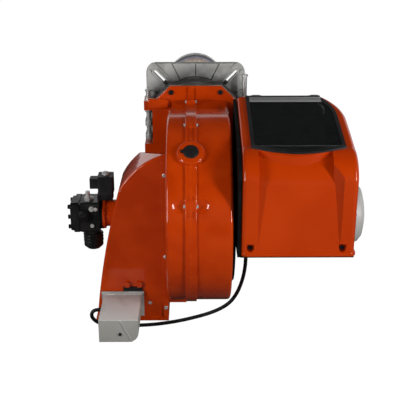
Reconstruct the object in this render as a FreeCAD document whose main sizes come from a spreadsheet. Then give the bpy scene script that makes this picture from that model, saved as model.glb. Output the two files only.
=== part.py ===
import FreeCAD, Part
import math
import os
import re
import Sketcher

# Light-oil burner with a hinged body. Millimetres, +Z up, +Y along the blast tube into the boiler.
# The origin is the centre of the mounting flange on its boiler face.

doc = FreeCAD.newDocument("burner")
sheet = doc.addObject("Spreadsheet::Sheet", "sizes")
nodes = []

# Driving dimensions in millimetres and degrees, copied to the sheet
SIZES = {
    # Clearances and the boiler interface
    "seat_gap": 0.3,
    "running_gap": 0.05,
    "tube_radius": 90,
    "tube_wall": 3,
    "tube_reach": 400,
    "boiler_circle": 250,
    "boiler_hole_radius": 6.75,
    # Mounting flange: cast plate with a hub, radial ribs, corner bars and hinge knuckles
    "flange_half": 140,
    "flange_corner": 28,
    "flange_thick": 12,
    "hub_radius": 100,
    "hub_depth": 30,
    "rib_depth": 26,
    "rib_width": 6,
    "rib_count": 24,
    "bar_width": 16,
    "bar_depth": 26,
    "bar_past_half": 20,
    "hinge_left": -134,
    "hinge_right": 138,
    "hinge_back": 40,
    "pin_radius": 6.5,
    "knuckle_radius": 10,
    "knuckle_top": 21.5,
    "knuckle_height": 16,
    "knuckle_pitch": 40,
    "lug_height": 26,
    "gasket_thick": 5,
    # Blast tube with the lighter ring pressed over its end
    "end_ring_wall": 4,
    "end_ring_length": 22,
    "end_ring_lip": 4,
    # Dark collar between the flange and the body plate, in the plate's outline with a round hump
    "plate_top": 90,
    "plate_top_half": 71,
    "plate_half": 113,
    "plate_shoulder": 50,
    "plate_face": 80,
    "plate_thick": 10,
    "seal_thick": 4,
    "passage_radius": 84,
    "plate_bolt_across": 68,
    "plate_bolt_up": 73,
    "plate_bolt_radius": 4,
    # Head in the blast tube: a fixed spider carries the sliding lance, nozzles, disc and electrodes
    "lance_radius": 10,
    "lance_rear": 60,
    "lance_front": 330,
    "spider_front": 4,
    "spider_width": 18,
    "spider_hub_radius": 18,
    "arm_width": 12,
    "block_radius": 26,
    "block_length": 22,
    "nozzle_offset": 12,
    "nozzle_radius": 7.5,
    "nozzle_length": 20,
    "disc_radius": 62,
    "disc_thick": 2.5,
    "disc_stand": 30,
    "disc_hole_radius": 24,
    "electrode_radius": 5,
    "electrode_up": 17,
    "electrode_length": 44,
    # Hinge pins: each hangs by its clip on the upper lug of the body
    "left_pin_top": 71,
    "right_pin_top": 113,
    "pin_head_radius": 9,
    "pin_head_height": 6,
    "clip_radius": 10.5,
    "clip_thick": 3,
    "clip_groove": 1.5,
    # Body casting in two halves: octagonal plate, neck, spiral fan drum, split rib and hinge lugs
    "fan_back": 250,
    "fan_down": 221,
    "spiral_step": 11,
    "spiral_start": 194,
    "shell_wall": 5,
    "drum_left": 75,
    "drum_right": 89,
    "drum_rounding": 9,
    "split_across": -13,
    "split_rib_half": 14,
    "split_rib_proud": 5,
    "strip_half": 8,
    "neck_left": 67,
    "neck_right": 88,
    "neck_bottom": 60,
    "neck_drop": 15,
    "neck_low_back": 201,
    "brow_length": 49,
    "inlet_radius": 62,
    "motor_opening": 152,
    "jaw_gap": 0.9,
    "lug_depth": 10,
    "boss_angle": 50.5,
    "boss_radius": 34.6,
    "boss_proud": 12,
    "cap_radius": 19,
    "cap_seat": 2,
    "glass_radius": 14,
    "glass_thick": 4,
    "channel_half": 8.5,
    "channel_deep": 3,
    "rib_screw_low": 21.3,
    "rib_screw_high": 73,
    "rib_screw_radius": 2.5,
    "rib_screw_head": 4.5,
    "rib_screw_up": 1,
    "rib_screw_head_height": 4,
    "dish_radius": 19,
    "dish_deep": 6,
    "dish_across": 12,
    "clamp_half": 12,
    "clamp_back": 134,
    "clamp_length": 14,
    "clamp_top": 61,
    "foot_half": 50,
    "foot_low": 468,
    "foot_height": 28,
    # Black plug of the flame sight, with its pull tab
    "cap_height": 13,
    "cap_rounding": 2.5,
    "tab_length": 6,
    "tab_width": 9,
    "tab_thick": 3,
    # Air intake box on the left of the drum, open at the bottom
    "intake_rear": 330,
    "intake_front": 185,
    "intake_wall": 4,
    "intake_top": -32,
    "intake_top_front": -71,
    "intake_bottom": -505,
    "brow_across": -150,
    "brow_up": -69,
    "waist_across": -200,
    "waist_up": -130,
    "flank_across": -243,
    "flank_up": -314,
    "foot_across": -270,
    "coupling_hole": 20,
    "servo_lug_left": -185,
    "servo_lug_right": -152,
    "servo_lug_low": -402,
    "damper_pitch": 90,
    "damper_first": -215,
    "damper_up": -452,
    "damper_shaft_radius": 5,
    "blade_half": 43.5,
    "blade_thick": 3,
    "crank_radius": 18,
    "crank_back_turn": 45,
    "crank_half": 5,
    "crank_pin": 3,
    "crank_pin_length": 12,
    "crank_behind": 8.5,
    "link_behind": 3,
    "link_thick": 4,
    "link_eye": 6,
    "blade_behind": 14,
    "drive_end": 4.7,
    "intake_screw_inset": 7,
    # Servo on the rear face of the intake box, on a light base plate and a black bracket
    "servo_left": -248,
    "servo_right": -147,
    "servo_rear": 483,
    "servo_front": 337,
    "servo_top": -421,
    "servo_bottom": -484,
    "servo_rounding": 16,
    "facet_deep": 13,
    "base_thick": 3.7,
    "base_margin": 6,
    "servo_screw_across": -194,
    "servo_screw_up": -461,
    "bracket_thick": 3,
    # Oil pump on the left, driven through the intake box
    "spacer_left": 249,
    "spacer_radius": 36,
    "pump_left": 334,
    "pump_half": 42,
    "pump_corner": 9,
    "pump_cover_thick": 9,
    "valve_across": -240,
    "port_radius": 6.6,
    "port_depth": 14,
    "port_apart": 20,
    "port_left": 290,
    "cover_bolt_apart": 28,
    "cover_bolt_flats": 11,
    "cover_bolt_head": 7,
    "filter_radius": 26,
    "filter_height": 55,
    # Solenoid valve that stands on the pump: block, stem with its nut, and the square coil round it
    "coil_half": 20,
    "coil_height": 50,
    "valve_block_height": 17,
    # Motor on the right: black plate, finned housing, shaft with its rotor, bearings, cooling fan and cowl
    "motor_plate_radius": 183,
    "motor_plate_thick": 10,
    "motor_radius": 76,
    "motor_fin": 4,
    "motor_right": 386,
    "shield_thick": 16,
    "rotor_radius": 46,
    "shaft_radius": 9.5,
    "bearing_radius": 20,
    "bearing_width": 12,
    "cowl_radius": 84,
    "cowl_right": 444,
    "cowl_wall": 2.5,
    "fan_radius": 140,
    "fan_eye_radius": 112,
    "fan_left": 50,
    "fan_right": 42,
    "fan_blades": 30,
    # Control panel on the right: a hood with a sloping top over the motor
    "hood_left": 107.5,
    "hood_right": 383,
    "hood_front": 180,
    "hood_rear": 497,
    "hood_turn": 290,
    "hood_front_top": 80,
    "hood_break": 344,
    "hood_break_up": 39,
    "hood_second": 427,
    "hood_second_up": 16,
    "hood_bottom": -240,
    "hood_step": 345,
    "hood_step_up": -125,
    "hood_wall": 3,
    "hood_rounding": 12,
    "rim_height": 10,
    "rim_proud": 4,
    "recess_left": 147,
    "recess_right": 348,
    "recess_deep": 12,
    "recess_slope": 24,
    "recess_below_lid": 6,
    "recess_bottom": -222,
    "pocket_radius": 9,
    "pocket_up": -220,
    "pocket_length": 16,
    "lid_margin": 24,
    "lid_thick": 5,
    "lid_frame_width": 9,
    "lid_rear": 436,
    "lid_sag": 22,
    "glass_plate": 3.5,
    "lid_axis_up": 78,
    "lid_axis_back": 173,
    "lid_barrel_radius": 5,
    "lid_pin_radius": 2.5,
    # Smoked window lid in its black frame, on two hinges at its front edge
    "hinge_length": 20,
    "hinge_left_across": 150,
    "hinge_right_across": 305,
    # Black chassis inside the hood: side plate, shelf over the motor, back, floor and the sloping deck
    "chassis_gap": 0.5,
    "chassis_thick": 3,
    "deck_drop": 45,
    "knob_apart": 37,
    "button_across": 322,
    "control_back": 300,
    "control_up": 12,
    "knob_radius": 11,
    "knob_height": 15,
    "button_radius": 8,
    "button_travel": 3,
    "stem_radius": 3,
    "gland_across": 129,
    "gland_back": 365,
    "gland_thread": 8,
    "cable_radius": 5,
    # Cable from the panel to the servo, with a gland at each end
    "gland_flats": 22,
    "gland_nut": 10,
    "gland_length": 24,
    "servo_gland_back": 353,
    "servo_gland_up": -460,
}
for row, (alias, value) in enumerate(SIZES.items(), 1):
    sheet.set("A%d" % row, alias)
    sheet.set("B%d" % row, str(value))
    sheet.setAlias("B%d" % row, alias)


class Reader:
    """Reads a size back from the sheet by its name."""

    def __getattr__(self, alias):
        return float(sheet.getContents(alias))


dim = Reader()


def linked(expression):
    """Puts the sheet's name before each size that an expression names."""
    def link(match):
        word = match.group(0)
        return "sizes." + word if word in SIZES else word
    return re.sub(r"[a-z][a-z_0-9]*", link, str(expression))


def bind(thing, prop, expression):
    thing.setExpression(prop, linked(expression))


DIRECTIONS = {
    "up": FreeCAD.Rotation(),
    "down": FreeCAD.Rotation(FreeCAD.Vector(1, 0, 0), 180),
    "rear": FreeCAD.Rotation(FreeCAD.Vector(1, 0, 0), 90),
    "front": FreeCAD.Rotation(FreeCAD.Vector(1, 0, 0), -90),
    "right": FreeCAD.Rotation(FreeCAD.Vector(1, 1, 1), 120),
    "left": FreeCAD.Rotation(FreeCAD.Vector(0, 1, 0), -90),
}


def place(thing, at, direction="up"):
    """Turns a piece from its own up to a direction and ties its place to the sheet."""
    thing.Placement = FreeCAD.Placement(FreeCAD.Vector(), DIRECTIONS[direction])
    for letter, expression in zip("xyz", at):
        bind(thing, "Placement.Base." + letter, expression)


def box(name, x_span, y_span, z_span):
    """A block between two expressions along each axis."""
    thing = doc.addObject("Part::Box", name)
    for prop, span in zip(("Length", "Width", "Height"), (x_span, y_span, z_span)):
        bind(thing, prop, "(%s) - (%s)" % (span[1], span[0]))
    place(thing, (x_span[0], y_span[0], z_span[0]))
    return thing


def cylinder(name, radius, length, at, direction):
    thing = doc.addObject("Part::Cylinder", name)
    bind(thing, "Radius", radius)
    bind(thing, "Height", length)
    place(thing, at, direction)
    return thing


def fuse(name, *things):
    thing = doc.addObject("Part::MultiFuse", name)
    thing.Shapes = list(things)
    return thing


def cut(name, base, *tools):
    thing = doc.addObject("Part::Cut", name)
    thing.Base = base
    thing.Tool = tools[0] if len(tools) == 1 else fuse(name + "_tools", *tools)
    return thing


def solid(name, shape):
    """A piece whose form is worked out from the sheet in this source."""
    thing = doc.addObject("Part::Feature", name)
    thing.Shape = shape
    return thing


def node(label, thing):
    """Declares a finished sub-part under the name that its file gets."""
    thing.Label = label
    nodes.append(thing)
    return thing


def body_sketch(body, name):
    """A sketch on the body's own ground plane."""
    sketch = body.newObject("Sketcher::SketchObject", name)
    ground = [plane for plane in body.Origin.OriginFeatures if plane.Role == "XY_Plane"][0]
    sketch.AttachmentSupport = [(ground, "")]
    sketch.MapMode = "FlatFace"
    return sketch


def hold(sketch, kind, geometry, point, expression, first):
    """One dimension of a sketch, tied to the sheet."""
    if kind == "Radius":
        index = sketch.addConstraint(Sketcher.Constraint(kind, geometry, first))
    else:
        index = sketch.addConstraint(Sketcher.Constraint(kind, -1, 1, geometry, point, first))
    bind(sketch, "Constraints[%d]" % index, expression)


def draw_outline(sketch, corners):
    """A closed outline of straight lines, each corner tied to the sheet in both directions."""
    count = len(corners)
    base = sketch.GeometryCount
    start = []
    for index in range(count):
        angle = 2 * math.pi * index / count
        start.append(FreeCAD.Vector(50 * math.cos(angle), 50 * math.sin(angle), 0))
    for index in range(count):
        sketch.addGeometry(Part.LineSegment(start[index], start[(index + 1) % count]), False)
    for index in range(count):
        following = base + (index + 1) % count
        sketch.addConstraint(Sketcher.Constraint("Coincident", base + index, 2, following, 1))
    for index, corner in enumerate(corners):
        hold(sketch, "DistanceX", base + index, 1, corner[0], start[index].x)
        hold(sketch, "DistanceY", base + index, 1, corner[1], start[index].y)


def draw_circle(sketch, radius, across="0", along="0"):
    base = sketch.GeometryCount
    sketch.addGeometry(Part.Circle(FreeCAD.Vector(1, 1, 0), FreeCAD.Vector(0, 0, 1), 10), False)
    hold(sketch, "Radius", base, 0, radius, 10)
    hold(sketch, "DistanceX", base, 3, across, 1)
    hold(sketch, "DistanceY", base, 3, along, 1)


def pad(body, sketch, length):
    feature = body.newObject("PartDesign::Pad", sketch.Name + "_pad")
    feature.Profile = sketch
    bind(feature, "Length", length)
    return feature


def turned(name, profile, at, direction):
    """A turned piece: its profile is a list of (radius, distance along the axis)."""
    body = doc.addObject("PartDesign::Body", name)
    sketch = body.newObject("Sketcher::SketchObject", name + "_profile")
    upright = [plane for plane in body.Origin.OriginFeatures if plane.Role == "XZ_Plane"][0]
    sketch.AttachmentSupport = [(upright, "")]
    sketch.MapMode = "FlatFace"
    draw_outline(sketch, profile)
    feature = body.newObject("PartDesign::Revolution", name + "_turn")
    feature.Profile = sketch
    feature.ReferenceAxis = (sketch, ["V_Axis"])
    feature.Angle = 360
    place(body, at, direction)
    return body


def plate(name, corners, thickness, at, direction):
    """A padded outline."""
    body = doc.addObject("PartDesign::Body", name)
    sketch = body_sketch(body, name + "_outline")
    draw_outline(sketch, corners)
    pad(body, sketch, thickness)
    place(body, at, direction)
    return body


def round_edges(name, base, radius, wanted):
    """Rounds the edges of a piece whose middle passes the test."""
    doc.recompute()
    picked = []
    for index, edge in enumerate(base.Shape.Edges, 1):
        middle = edge.valueAt((edge.FirstParameter + edge.LastParameter) / 2)
        if wanted(middle, edge):
            picked.append((index, radius, radius))
    thing = doc.addObject("Part::Fillet", name)
    thing.Base = base
    thing.Edges = picked
    return thing


def runs_along(edge, axis):
    """True for a straight edge that runs along a row axis."""
    if edge.Curve.TypeId != "Part::GeomLine":
        return False
    return abs(edge.tangentAt(edge.FirstParameter).dot(FreeCAD.Vector(*axis))) > 0.999


# Clearances and the boiler interface

# Mounting flange: cast plate with a hub, radial ribs, corner bars and hinge knuckles

flange_body = doc.addObject("PartDesign::Body", "flange_casting")
flange_sketch = body_sketch(flange_body, "flange_outline")
draw_outline(flange_sketch, [("flange_half", "flange_half"), ("-flange_half", "flange_half"),
                             ("-flange_half", "-flange_half"), ("flange_half", "-flange_half")])
pad(flange_body, flange_sketch, "flange_thick")
hub_sketch = body_sketch(flange_body, "hub_outline")
draw_circle(hub_sketch, "hub_radius")
pad(flange_body, hub_sketch, "hub_depth")
rib_sketch = body_sketch(flange_body, "rib_outline")
draw_outline(rib_sketch, [("hub_radius - rib_width", "rib_width / 2"), ("hub_radius - rib_width", "-rib_width / 2"),
                          ("flange_half - rib_width / 2", "-rib_width / 2"),
                          ("flange_half - rib_width / 2", "rib_width / 2")])
rib_pad = pad(flange_body, rib_sketch, "rib_depth")
ribs = flange_body.newObject("PartDesign::PolarPattern", "ribs")
ribs.Originals = [rib_pad]
ribs.Axis = (rib_sketch, ["N_Axis"])
ribs.Angle = 360
bind(ribs, "Occurrences", "rib_count")
flange_body.Tip = ribs
place(flange_body, ("0", "0", "0"), "rear")

knuckles = []
for side, across in (("left", "hinge_left"), ("right", "hinge_right")):
    inward = "+" if side == "left" else "-"
    for number in range(3):
        low = "knuckle_top - knuckle_height - %d * knuckle_pitch" % number
        spot = (across, "-hinge_back", low)
        knuckles.append(cylinder("knuckle_%s_%d" % (side, number), "knuckle_radius", "knuckle_height", spot, "up"))
        web = box("knuckle_web_%s_%d" % (side, number),
                  ("%s - knuckle_radius" % across, "%s + knuckle_radius" % across),
                  ("-hinge_back", "-flange_thick / 2"), (low, "(%s) + knuckle_height" % low))
        knuckles.append(web)


def corner_bars():
    """Diagonal bars on the corners of the flange, one beyond each boiler bolt."""
    bars = []
    for quarter in range(4):
        turn = FreeCAD.Rotation(FreeCAD.Vector(0, 1, 0), 45 + 90 * quarter)
        first = dim.boiler_circle / 2
        last = dim.flange_half + dim.bar_past_half
        bar = Part.makeBox(last - first, dim.bar_depth, dim.bar_width)
        bar.translate(FreeCAD.Vector(first, -dim.bar_depth, -dim.bar_width / 2))
        cap = Part.makeCylinder(dim.bar_width / 2, dim.bar_depth, FreeCAD.Vector(first, -dim.bar_depth, 0),
                                FreeCAD.Vector(0, 1, 0))
        tip = Part.makeCylinder(dim.bar_width / 2, dim.bar_depth, FreeCAD.Vector(last, -dim.bar_depth, 0),
                                FreeCAD.Vector(0, 1, 0))
        bar = bar.fuse([cap, tip])
        bar.Placement = FreeCAD.Placement(FreeCAD.Vector(), turn).multiply(bar.Placement)
        bars.append(bar)
    return bars[0].fuse(bars[1:])


def bolt_holes(radius, circle, first_angle, count, near, far):
    """Round holes on a circle about the tube axis, between two places along it."""
    holes = []
    for index in range(count):
        angle = math.radians(first_angle + 360 * index / count)
        spot = FreeCAD.Vector(circle / 2 * math.cos(angle), near, circle / 2 * math.sin(angle))
        holes.append(Part.makeCylinder(radius, far - near, spot, FreeCAD.Vector(0, 1, 0)))
    return holes[0].fuse(holes[1:])


boiler_holes = solid("boiler_holes", bolt_holes(dim.boiler_hole_radius, dim.boiler_circle, 45, 4,
                                                -dim.hub_depth - 1, dim.gasket_thick + 1))
flange_blank = fuse("flange_blank", flange_body, solid("corner_bars", corner_bars()), *knuckles)
tube_bore = cylinder("tube_bore", "tube_radius + seat_gap", "hub_depth + 2", ("0", "-hub_depth - 1", "0"), "front")
pin_bores = [cylinder("pin_bore_" + side, "pin_radius + running_gap", "2 * flange_half",
                      (across, "-hinge_back", "-flange_half"), "up")
             for side, across in (("left", "hinge_left"), ("right", "hinge_right"))]
flange_cut = cut("flange_cut", flange_blank, tube_bore, boiler_holes, *pin_bores)
mounting_flange = round_edges("mounting_flange", flange_cut, dim.flange_corner, lambda middle, edge:
                              runs_along(edge, (0, 1, 0)) and abs(abs(middle.x) - dim.flange_half) < 0.01
                              and abs(abs(middle.z) - dim.flange_half) < 0.01)
node("mounting_flange", mounting_flange)

gasket_blank = box("gasket_blank", ("-flange_half + 2", "flange_half - 2"), ("0", "gasket_thick"),
                   ("-flange_half + 2", "flange_half - 2"))
gasket_bore = cylinder("gasket_bore", "tube_radius + seat_gap", "gasket_thick + 2", ("0", "-1", "0"), "front")
gasket_cut = cut("gasket_cut", gasket_blank, gasket_bore, boiler_holes)
node("boiler_gasket", round_edges("gasket", gasket_cut, dim.flange_corner - 2, lambda middle, edge:
                                  runs_along(edge, (0, 1, 0)) and abs(middle.x) > dim.flange_half - 3))

# Blast tube with the lighter ring pressed over its end
node("blast_tube", turned("blast_tube", [
    ("tube_radius - tube_wall", "-hub_depth"), ("tube_radius", "-hub_depth"),
    ("tube_radius", "tube_reach"), ("tube_radius - tube_wall", "tube_reach")], ("0", "0", "0"), "front"))
node("tube_end_ring", turned("tube_end_ring", [
    ("tube_radius", "tube_reach - end_ring_length"),
    ("tube_radius + end_ring_wall", "tube_reach - end_ring_length"),
    ("tube_radius + end_ring_wall", "tube_reach + end_ring_lip"),
    ("tube_radius - 2 * tube_wall", "tube_reach + end_ring_lip"),
    ("tube_radius - 2 * tube_wall", "tube_reach"), ("tube_radius", "tube_reach")], ("0", "0", "0"), "front"))

# Dark collar between the flange and the body plate, in the plate's outline with a round hump
plate_outline = [("plate_half", "plate_shoulder"), ("plate_top_half", "plate_top"),
                 ("-plate_top_half", "plate_top"), ("-plate_half", "plate_shoulder"),
                 ("-plate_half", "-plate_shoulder"), ("-plate_top_half", "-plate_top"),
                 ("plate_top_half", "-plate_top"), ("plate_half", "-plate_shoulder")]
collar_length = "plate_face - seal_thick - seat_gap - hub_depth"
collar_plate = plate("collar_plate", plate_outline, collar_length, ("0", "-hub_depth", "0"), "rear")
collar_hump = cylinder("collar_hump", "hub_radius", collar_length, ("0", "-hub_depth", "0"), "rear")
passage = cylinder("passage", "passage_radius", "2 * plate_face", ("0", "0", "0"), "rear")
bolt_reach = "plate_face - hub_depth"
collar_holes = [cylinder("collar_hole_%s_%s" % (across, along), "plate_bolt_radius + seat_gap", bolt_reach,
                         ("%s plate_bolt_across" % across, "-hub_depth - plate_thick", "%s plate_bolt_up" % along),
                         "rear") for across in "+-" for along in "+-"]
node("head_collar", cut("head_collar", fuse("collar_blank", collar_plate, collar_hump), passage, *collar_holes))

# Head in the blast tube: a fixed spider carries the sliding lance, nozzles, disc and electrodes


def spider_shape():
    ahead = FreeCAD.Vector(0, 1, 0)
    start = FreeCAD.Vector(0, -dim.spider_front - dim.spider_width, 0)
    shape = Part.makeCylinder(dim.spider_hub_radius, dim.spider_width, start, ahead)
    inside = dim.tube_radius - dim.tube_wall - dim.seat_gap
    for index in range(3):
        arm = Part.makeBox(inside, dim.spider_width, dim.arm_width)
        arm.translate(FreeCAD.Vector(0, start.y, -dim.arm_width / 2))
        arm.rotate(FreeCAD.Vector(), ahead, -90 + 120 * index)
        shape = shape.fuse(arm)
    rim = Part.makeCylinder(inside, dim.spider_width, start, ahead)
    rim = rim.cut(Part.makeCylinder(inside - dim.tube_wall, dim.spider_width, start, ahead))
    trim = Part.makeCylinder(inside, dim.spider_width, start, ahead)
    bore = Part.makeCylinder(dim.lance_radius + dim.running_gap, dim.spider_width, start, ahead)
    return shape.common(trim).fuse(rim).cut(bore).removeSplitter()


node("head_spider", solid("head_spider", spider_shape()))
node("oil_lance", turned("oil_lance", [
    ("0", "-lance_rear"), ("lance_radius", "-lance_rear"), ("lance_radius", "lance_front"),
    ("block_radius", "lance_front"), ("block_radius", "lance_front + block_length"),
    ("0", "lance_front + block_length")], ("0", "0", "0"), "front"))
nozzle_profile = [("0", "0"), ("nozzle_radius", "0"), ("nozzle_radius", "nozzle_length / 2"),
                  ("nozzle_radius / 3", "nozzle_length"), ("0", "nozzle_length")]
block_front = "lance_front + block_length"
node("nozzles", fuse("nozzles", *[
    turned("nozzle_" + side, nozzle_profile, (across, block_front, "0"), "front")
    for side, across in (("left", "-nozzle_offset"), ("right", "nozzle_offset"))]))


def disc_shape():
    """Slotted diffuser disc on three stays that stand on the nozzle block."""
    ahead = FreeCAD.Vector(0, 1, 0)
    foot = dim.lance_front + dim.block_length
    face = FreeCAD.Vector(0, foot + dim.disc_stand, 0)
    shape = Part.makeCylinder(dim.disc_radius, dim.disc_thick, face, ahead)
    shape = shape.cut(Part.makeCylinder(dim.disc_hole_radius, dim.disc_thick, face, ahead))
    slots = []
    for index in range(12):
        slot = Part.makeBox(dim.disc_radius - dim.disc_hole_radius - 16, dim.disc_thick, 3)
        slot.translate(FreeCAD.Vector(dim.disc_hole_radius + 8, face.y, -1.5))
        slot.rotate(FreeCAD.Vector(), ahead, 30 * index + 15)
        slots.append(slot)
    shape = shape.cut(slots)
    for index in range(3):
        stay = Part.makeBox(6, dim.disc_stand, 2)
        stay.translate(FreeCAD.Vector(dim.block_radius - 6, foot, -1))
        tab = Part.makeBox(8, dim.disc_thick, 2)
        tab.translate(FreeCAD.Vector(dim.block_radius - 7, foot + dim.disc_stand, -1))
        stay = stay.fuse(tab)
        stay.rotate(FreeCAD.Vector(), ahead, 120 * index + 30)
        shape = shape.fuse(stay)
    return shape.removeSplitter()


node("diffuser_disc", solid("diffuser_disc", disc_shape()))
electrode_profile = [("0", "0"), ("electrode_radius", "0"), ("electrode_radius", "electrode_length - 14"),
                     ("1.2", "electrode_length - 14"), ("1.2", "electrode_length"), ("0", "electrode_length")]
node("ignition_electrodes", fuse("ignition_electrodes", *[
    turned("electrode_" + side, electrode_profile, (across, block_front, "electrode_up"), "front")
    for side, across in (("left", "-electrode_radius - 1"), ("right", "electrode_radius + 1"))]))

# Hinge pins: each hangs by its clip on the upper lug of the body
for side, across, top in (("left", "hinge_left", "left_pin_top"), ("right", "hinge_right", "right_pin_top")):
    clip_low = "knuckle_top + 2 * seat_gap + lug_height"
    foot = "knuckle_top - 3 * knuckle_pitch - 4"
    pin = turned(side + "_hinge_pin", [
        ("0", foot), ("pin_radius - 2", foot), ("pin_radius", "(%s) + 2" % foot), ("pin_radius", clip_low),
        ("pin_radius - clip_groove", clip_low), ("pin_radius - clip_groove", "(%s) + clip_thick" % clip_low),
        ("pin_radius", "(%s) + clip_thick" % clip_low), ("pin_radius", "%s - pin_head_height" % top),
        ("pin_head_radius", "%s - pin_head_height" % top), ("pin_head_radius", "%s - 1.5" % top),
        ("pin_head_radius - 1.5", top), ("0", top)], (across, "-hinge_back", "0"), "up")
    node(side + "_hinge_pin", pin)
    clip = turned(side + "_pin_clip", [
        ("pin_radius - clip_groove", "0"), ("clip_radius", "0"), ("clip_radius", "clip_thick"),
        ("pin_radius - clip_groove", "clip_thick")], (across, "-hinge_back", clip_low), "up")
    node(side + "_pin_clip", clip)

# Body casting in two halves: octagonal plate, neck, spiral fan drum, split rib and hinge lugs
RIGHTWARDS = FreeCAD.Vector(1, 0, 0)


def spiral_centre(quarter):
    """Centre of one quarter of the spiral: 0 is the front top quarter, and they follow clockwise."""
    back = -dim.fan_back + (dim.spiral_step if quarter in (0, 3) else -dim.spiral_step)
    up = -dim.fan_down + (dim.spiral_step if quarter in (2, 3) else -dim.spiral_step)
    return FreeCAD.Vector(0, back, up)


def spiral_radius(quarter):
    return dim.spiral_start + 2 * dim.spiral_step * quarter


def on_spiral(quarter, angle, grow=0.0):
    """Point of the drum's outline; the angle is seen from +X, 0 towards the boiler and 90 up."""
    reach = spiral_radius(quarter) + grow
    turn = math.radians(angle)
    return spiral_centre(quarter) + FreeCAD.Vector(0, reach * math.cos(turn), reach * math.sin(turn))


def drum_block(low, high, grow):
    """The drum's spiral outline, grown or shrunk, as a solid between two places across."""
    top = on_spiral(3, 90, grow)
    brow = top + FreeCAD.Vector(0, dim.brow_length, 0)
    shoulder = on_spiral(0, 45, grow)
    edges = [Part.Arc(on_spiral(3, 180, grow), on_spiral(3, 135, grow), top).toShape(),
             Part.LineSegment(top, brow).toShape(), Part.LineSegment(brow, shoulder).toShape(),
             Part.Arc(shoulder, on_spiral(0, 22, grow), on_spiral(0, 0, grow)).toShape(),
             Part.Arc(on_spiral(1, 0, grow), on_spiral(1, -45, grow), on_spiral(1, -90, grow)).toShape(),
             Part.Arc(on_spiral(2, -90, grow), on_spiral(2, -135, grow), on_spiral(2, -180, grow)).toShape()]
    face = Part.Face(Part.Wire(edges))
    face.translate(FreeCAD.Vector(low, 0, 0))
    return face.extrude(FreeCAD.Vector(high - low, 0, 0))


def span(low, high):
    """A block between two corners."""
    size_of = high - low
    return Part.makeBox(size_of.x, size_of.y, size_of.z, low)


def side_prism(low, high, points):
    """A solid whose outline is given as (back, up) pairs, between two places across."""
    corners = [FreeCAD.Vector(low, back, up) for back, up in points]
    return Part.Face(Part.makePolygon(corners + corners[:1])).extrude(FreeCAD.Vector(high - low, 0, 0))


def drum_normal(angle):
    """Outward direction of the rear top quarter of the drum, by its height above level."""
    turn = math.radians(angle)
    return FreeCAD.Vector(0, -math.cos(turn), math.sin(turn))


def drum_point(angle, above, across):
    """A point above the surface of the rear top quarter of the drum."""
    reach = spiral_radius(3) + above
    return spiral_centre(3) + drum_normal(angle) * reach + FreeCAD.Vector(across, 0, 0)


def rib_channel(first, last):
    """Shallow channel sunk into the split rib between two angles."""
    low = dim.split_rib_proud - dim.channel_deep
    corners = [drum_point(first, low, dim.split_across - dim.channel_half),
               drum_point(first, low, dim.split_across + dim.channel_half),
               drum_point(first, low + 10, dim.split_across + dim.channel_half),
               drum_point(first, low + 10, dim.split_across - dim.channel_half)]
    face = Part.Face(Part.makePolygon(corners + corners[:1]))
    return face.revolve(spiral_centre(3), FreeCAD.Vector(-1, 0, 0), last - first)


def hinge_lug(across, low, inner):
    """One lug: an eye round the pin and an arm back to the neck."""
    high = low + dim.lug_height
    left, right = across - dim.knuckle_radius, across + dim.knuckle_radius
    back = -dim.plate_face - dim.lug_depth
    eye = Part.makeCylinder(dim.knuckle_radius, dim.lug_height, FreeCAD.Vector(across, -dim.hinge_back, low))
    arm = span(FreeCAD.Vector(left, back, low), FreeCAD.Vector(right, -dim.hinge_back, high))
    bridge = span(FreeCAD.Vector(min(left, inner), back, low), FreeCAD.Vector(max(right, inner), -dim.plate_face, high))
    return [eye, arm, bridge]


def lug_heights():
    upper = dim.knuckle_top + dim.seat_gap
    lower = dim.knuckle_top - 2 * dim.knuckle_pitch - dim.knuckle_height - dim.seat_gap - dim.lug_height
    return upper, lower


neck_top = on_spiral(3, 90).z
neck_low = neck_top - dim.neck_drop
plate_back = -dim.plate_face - dim.plate_thick


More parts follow.
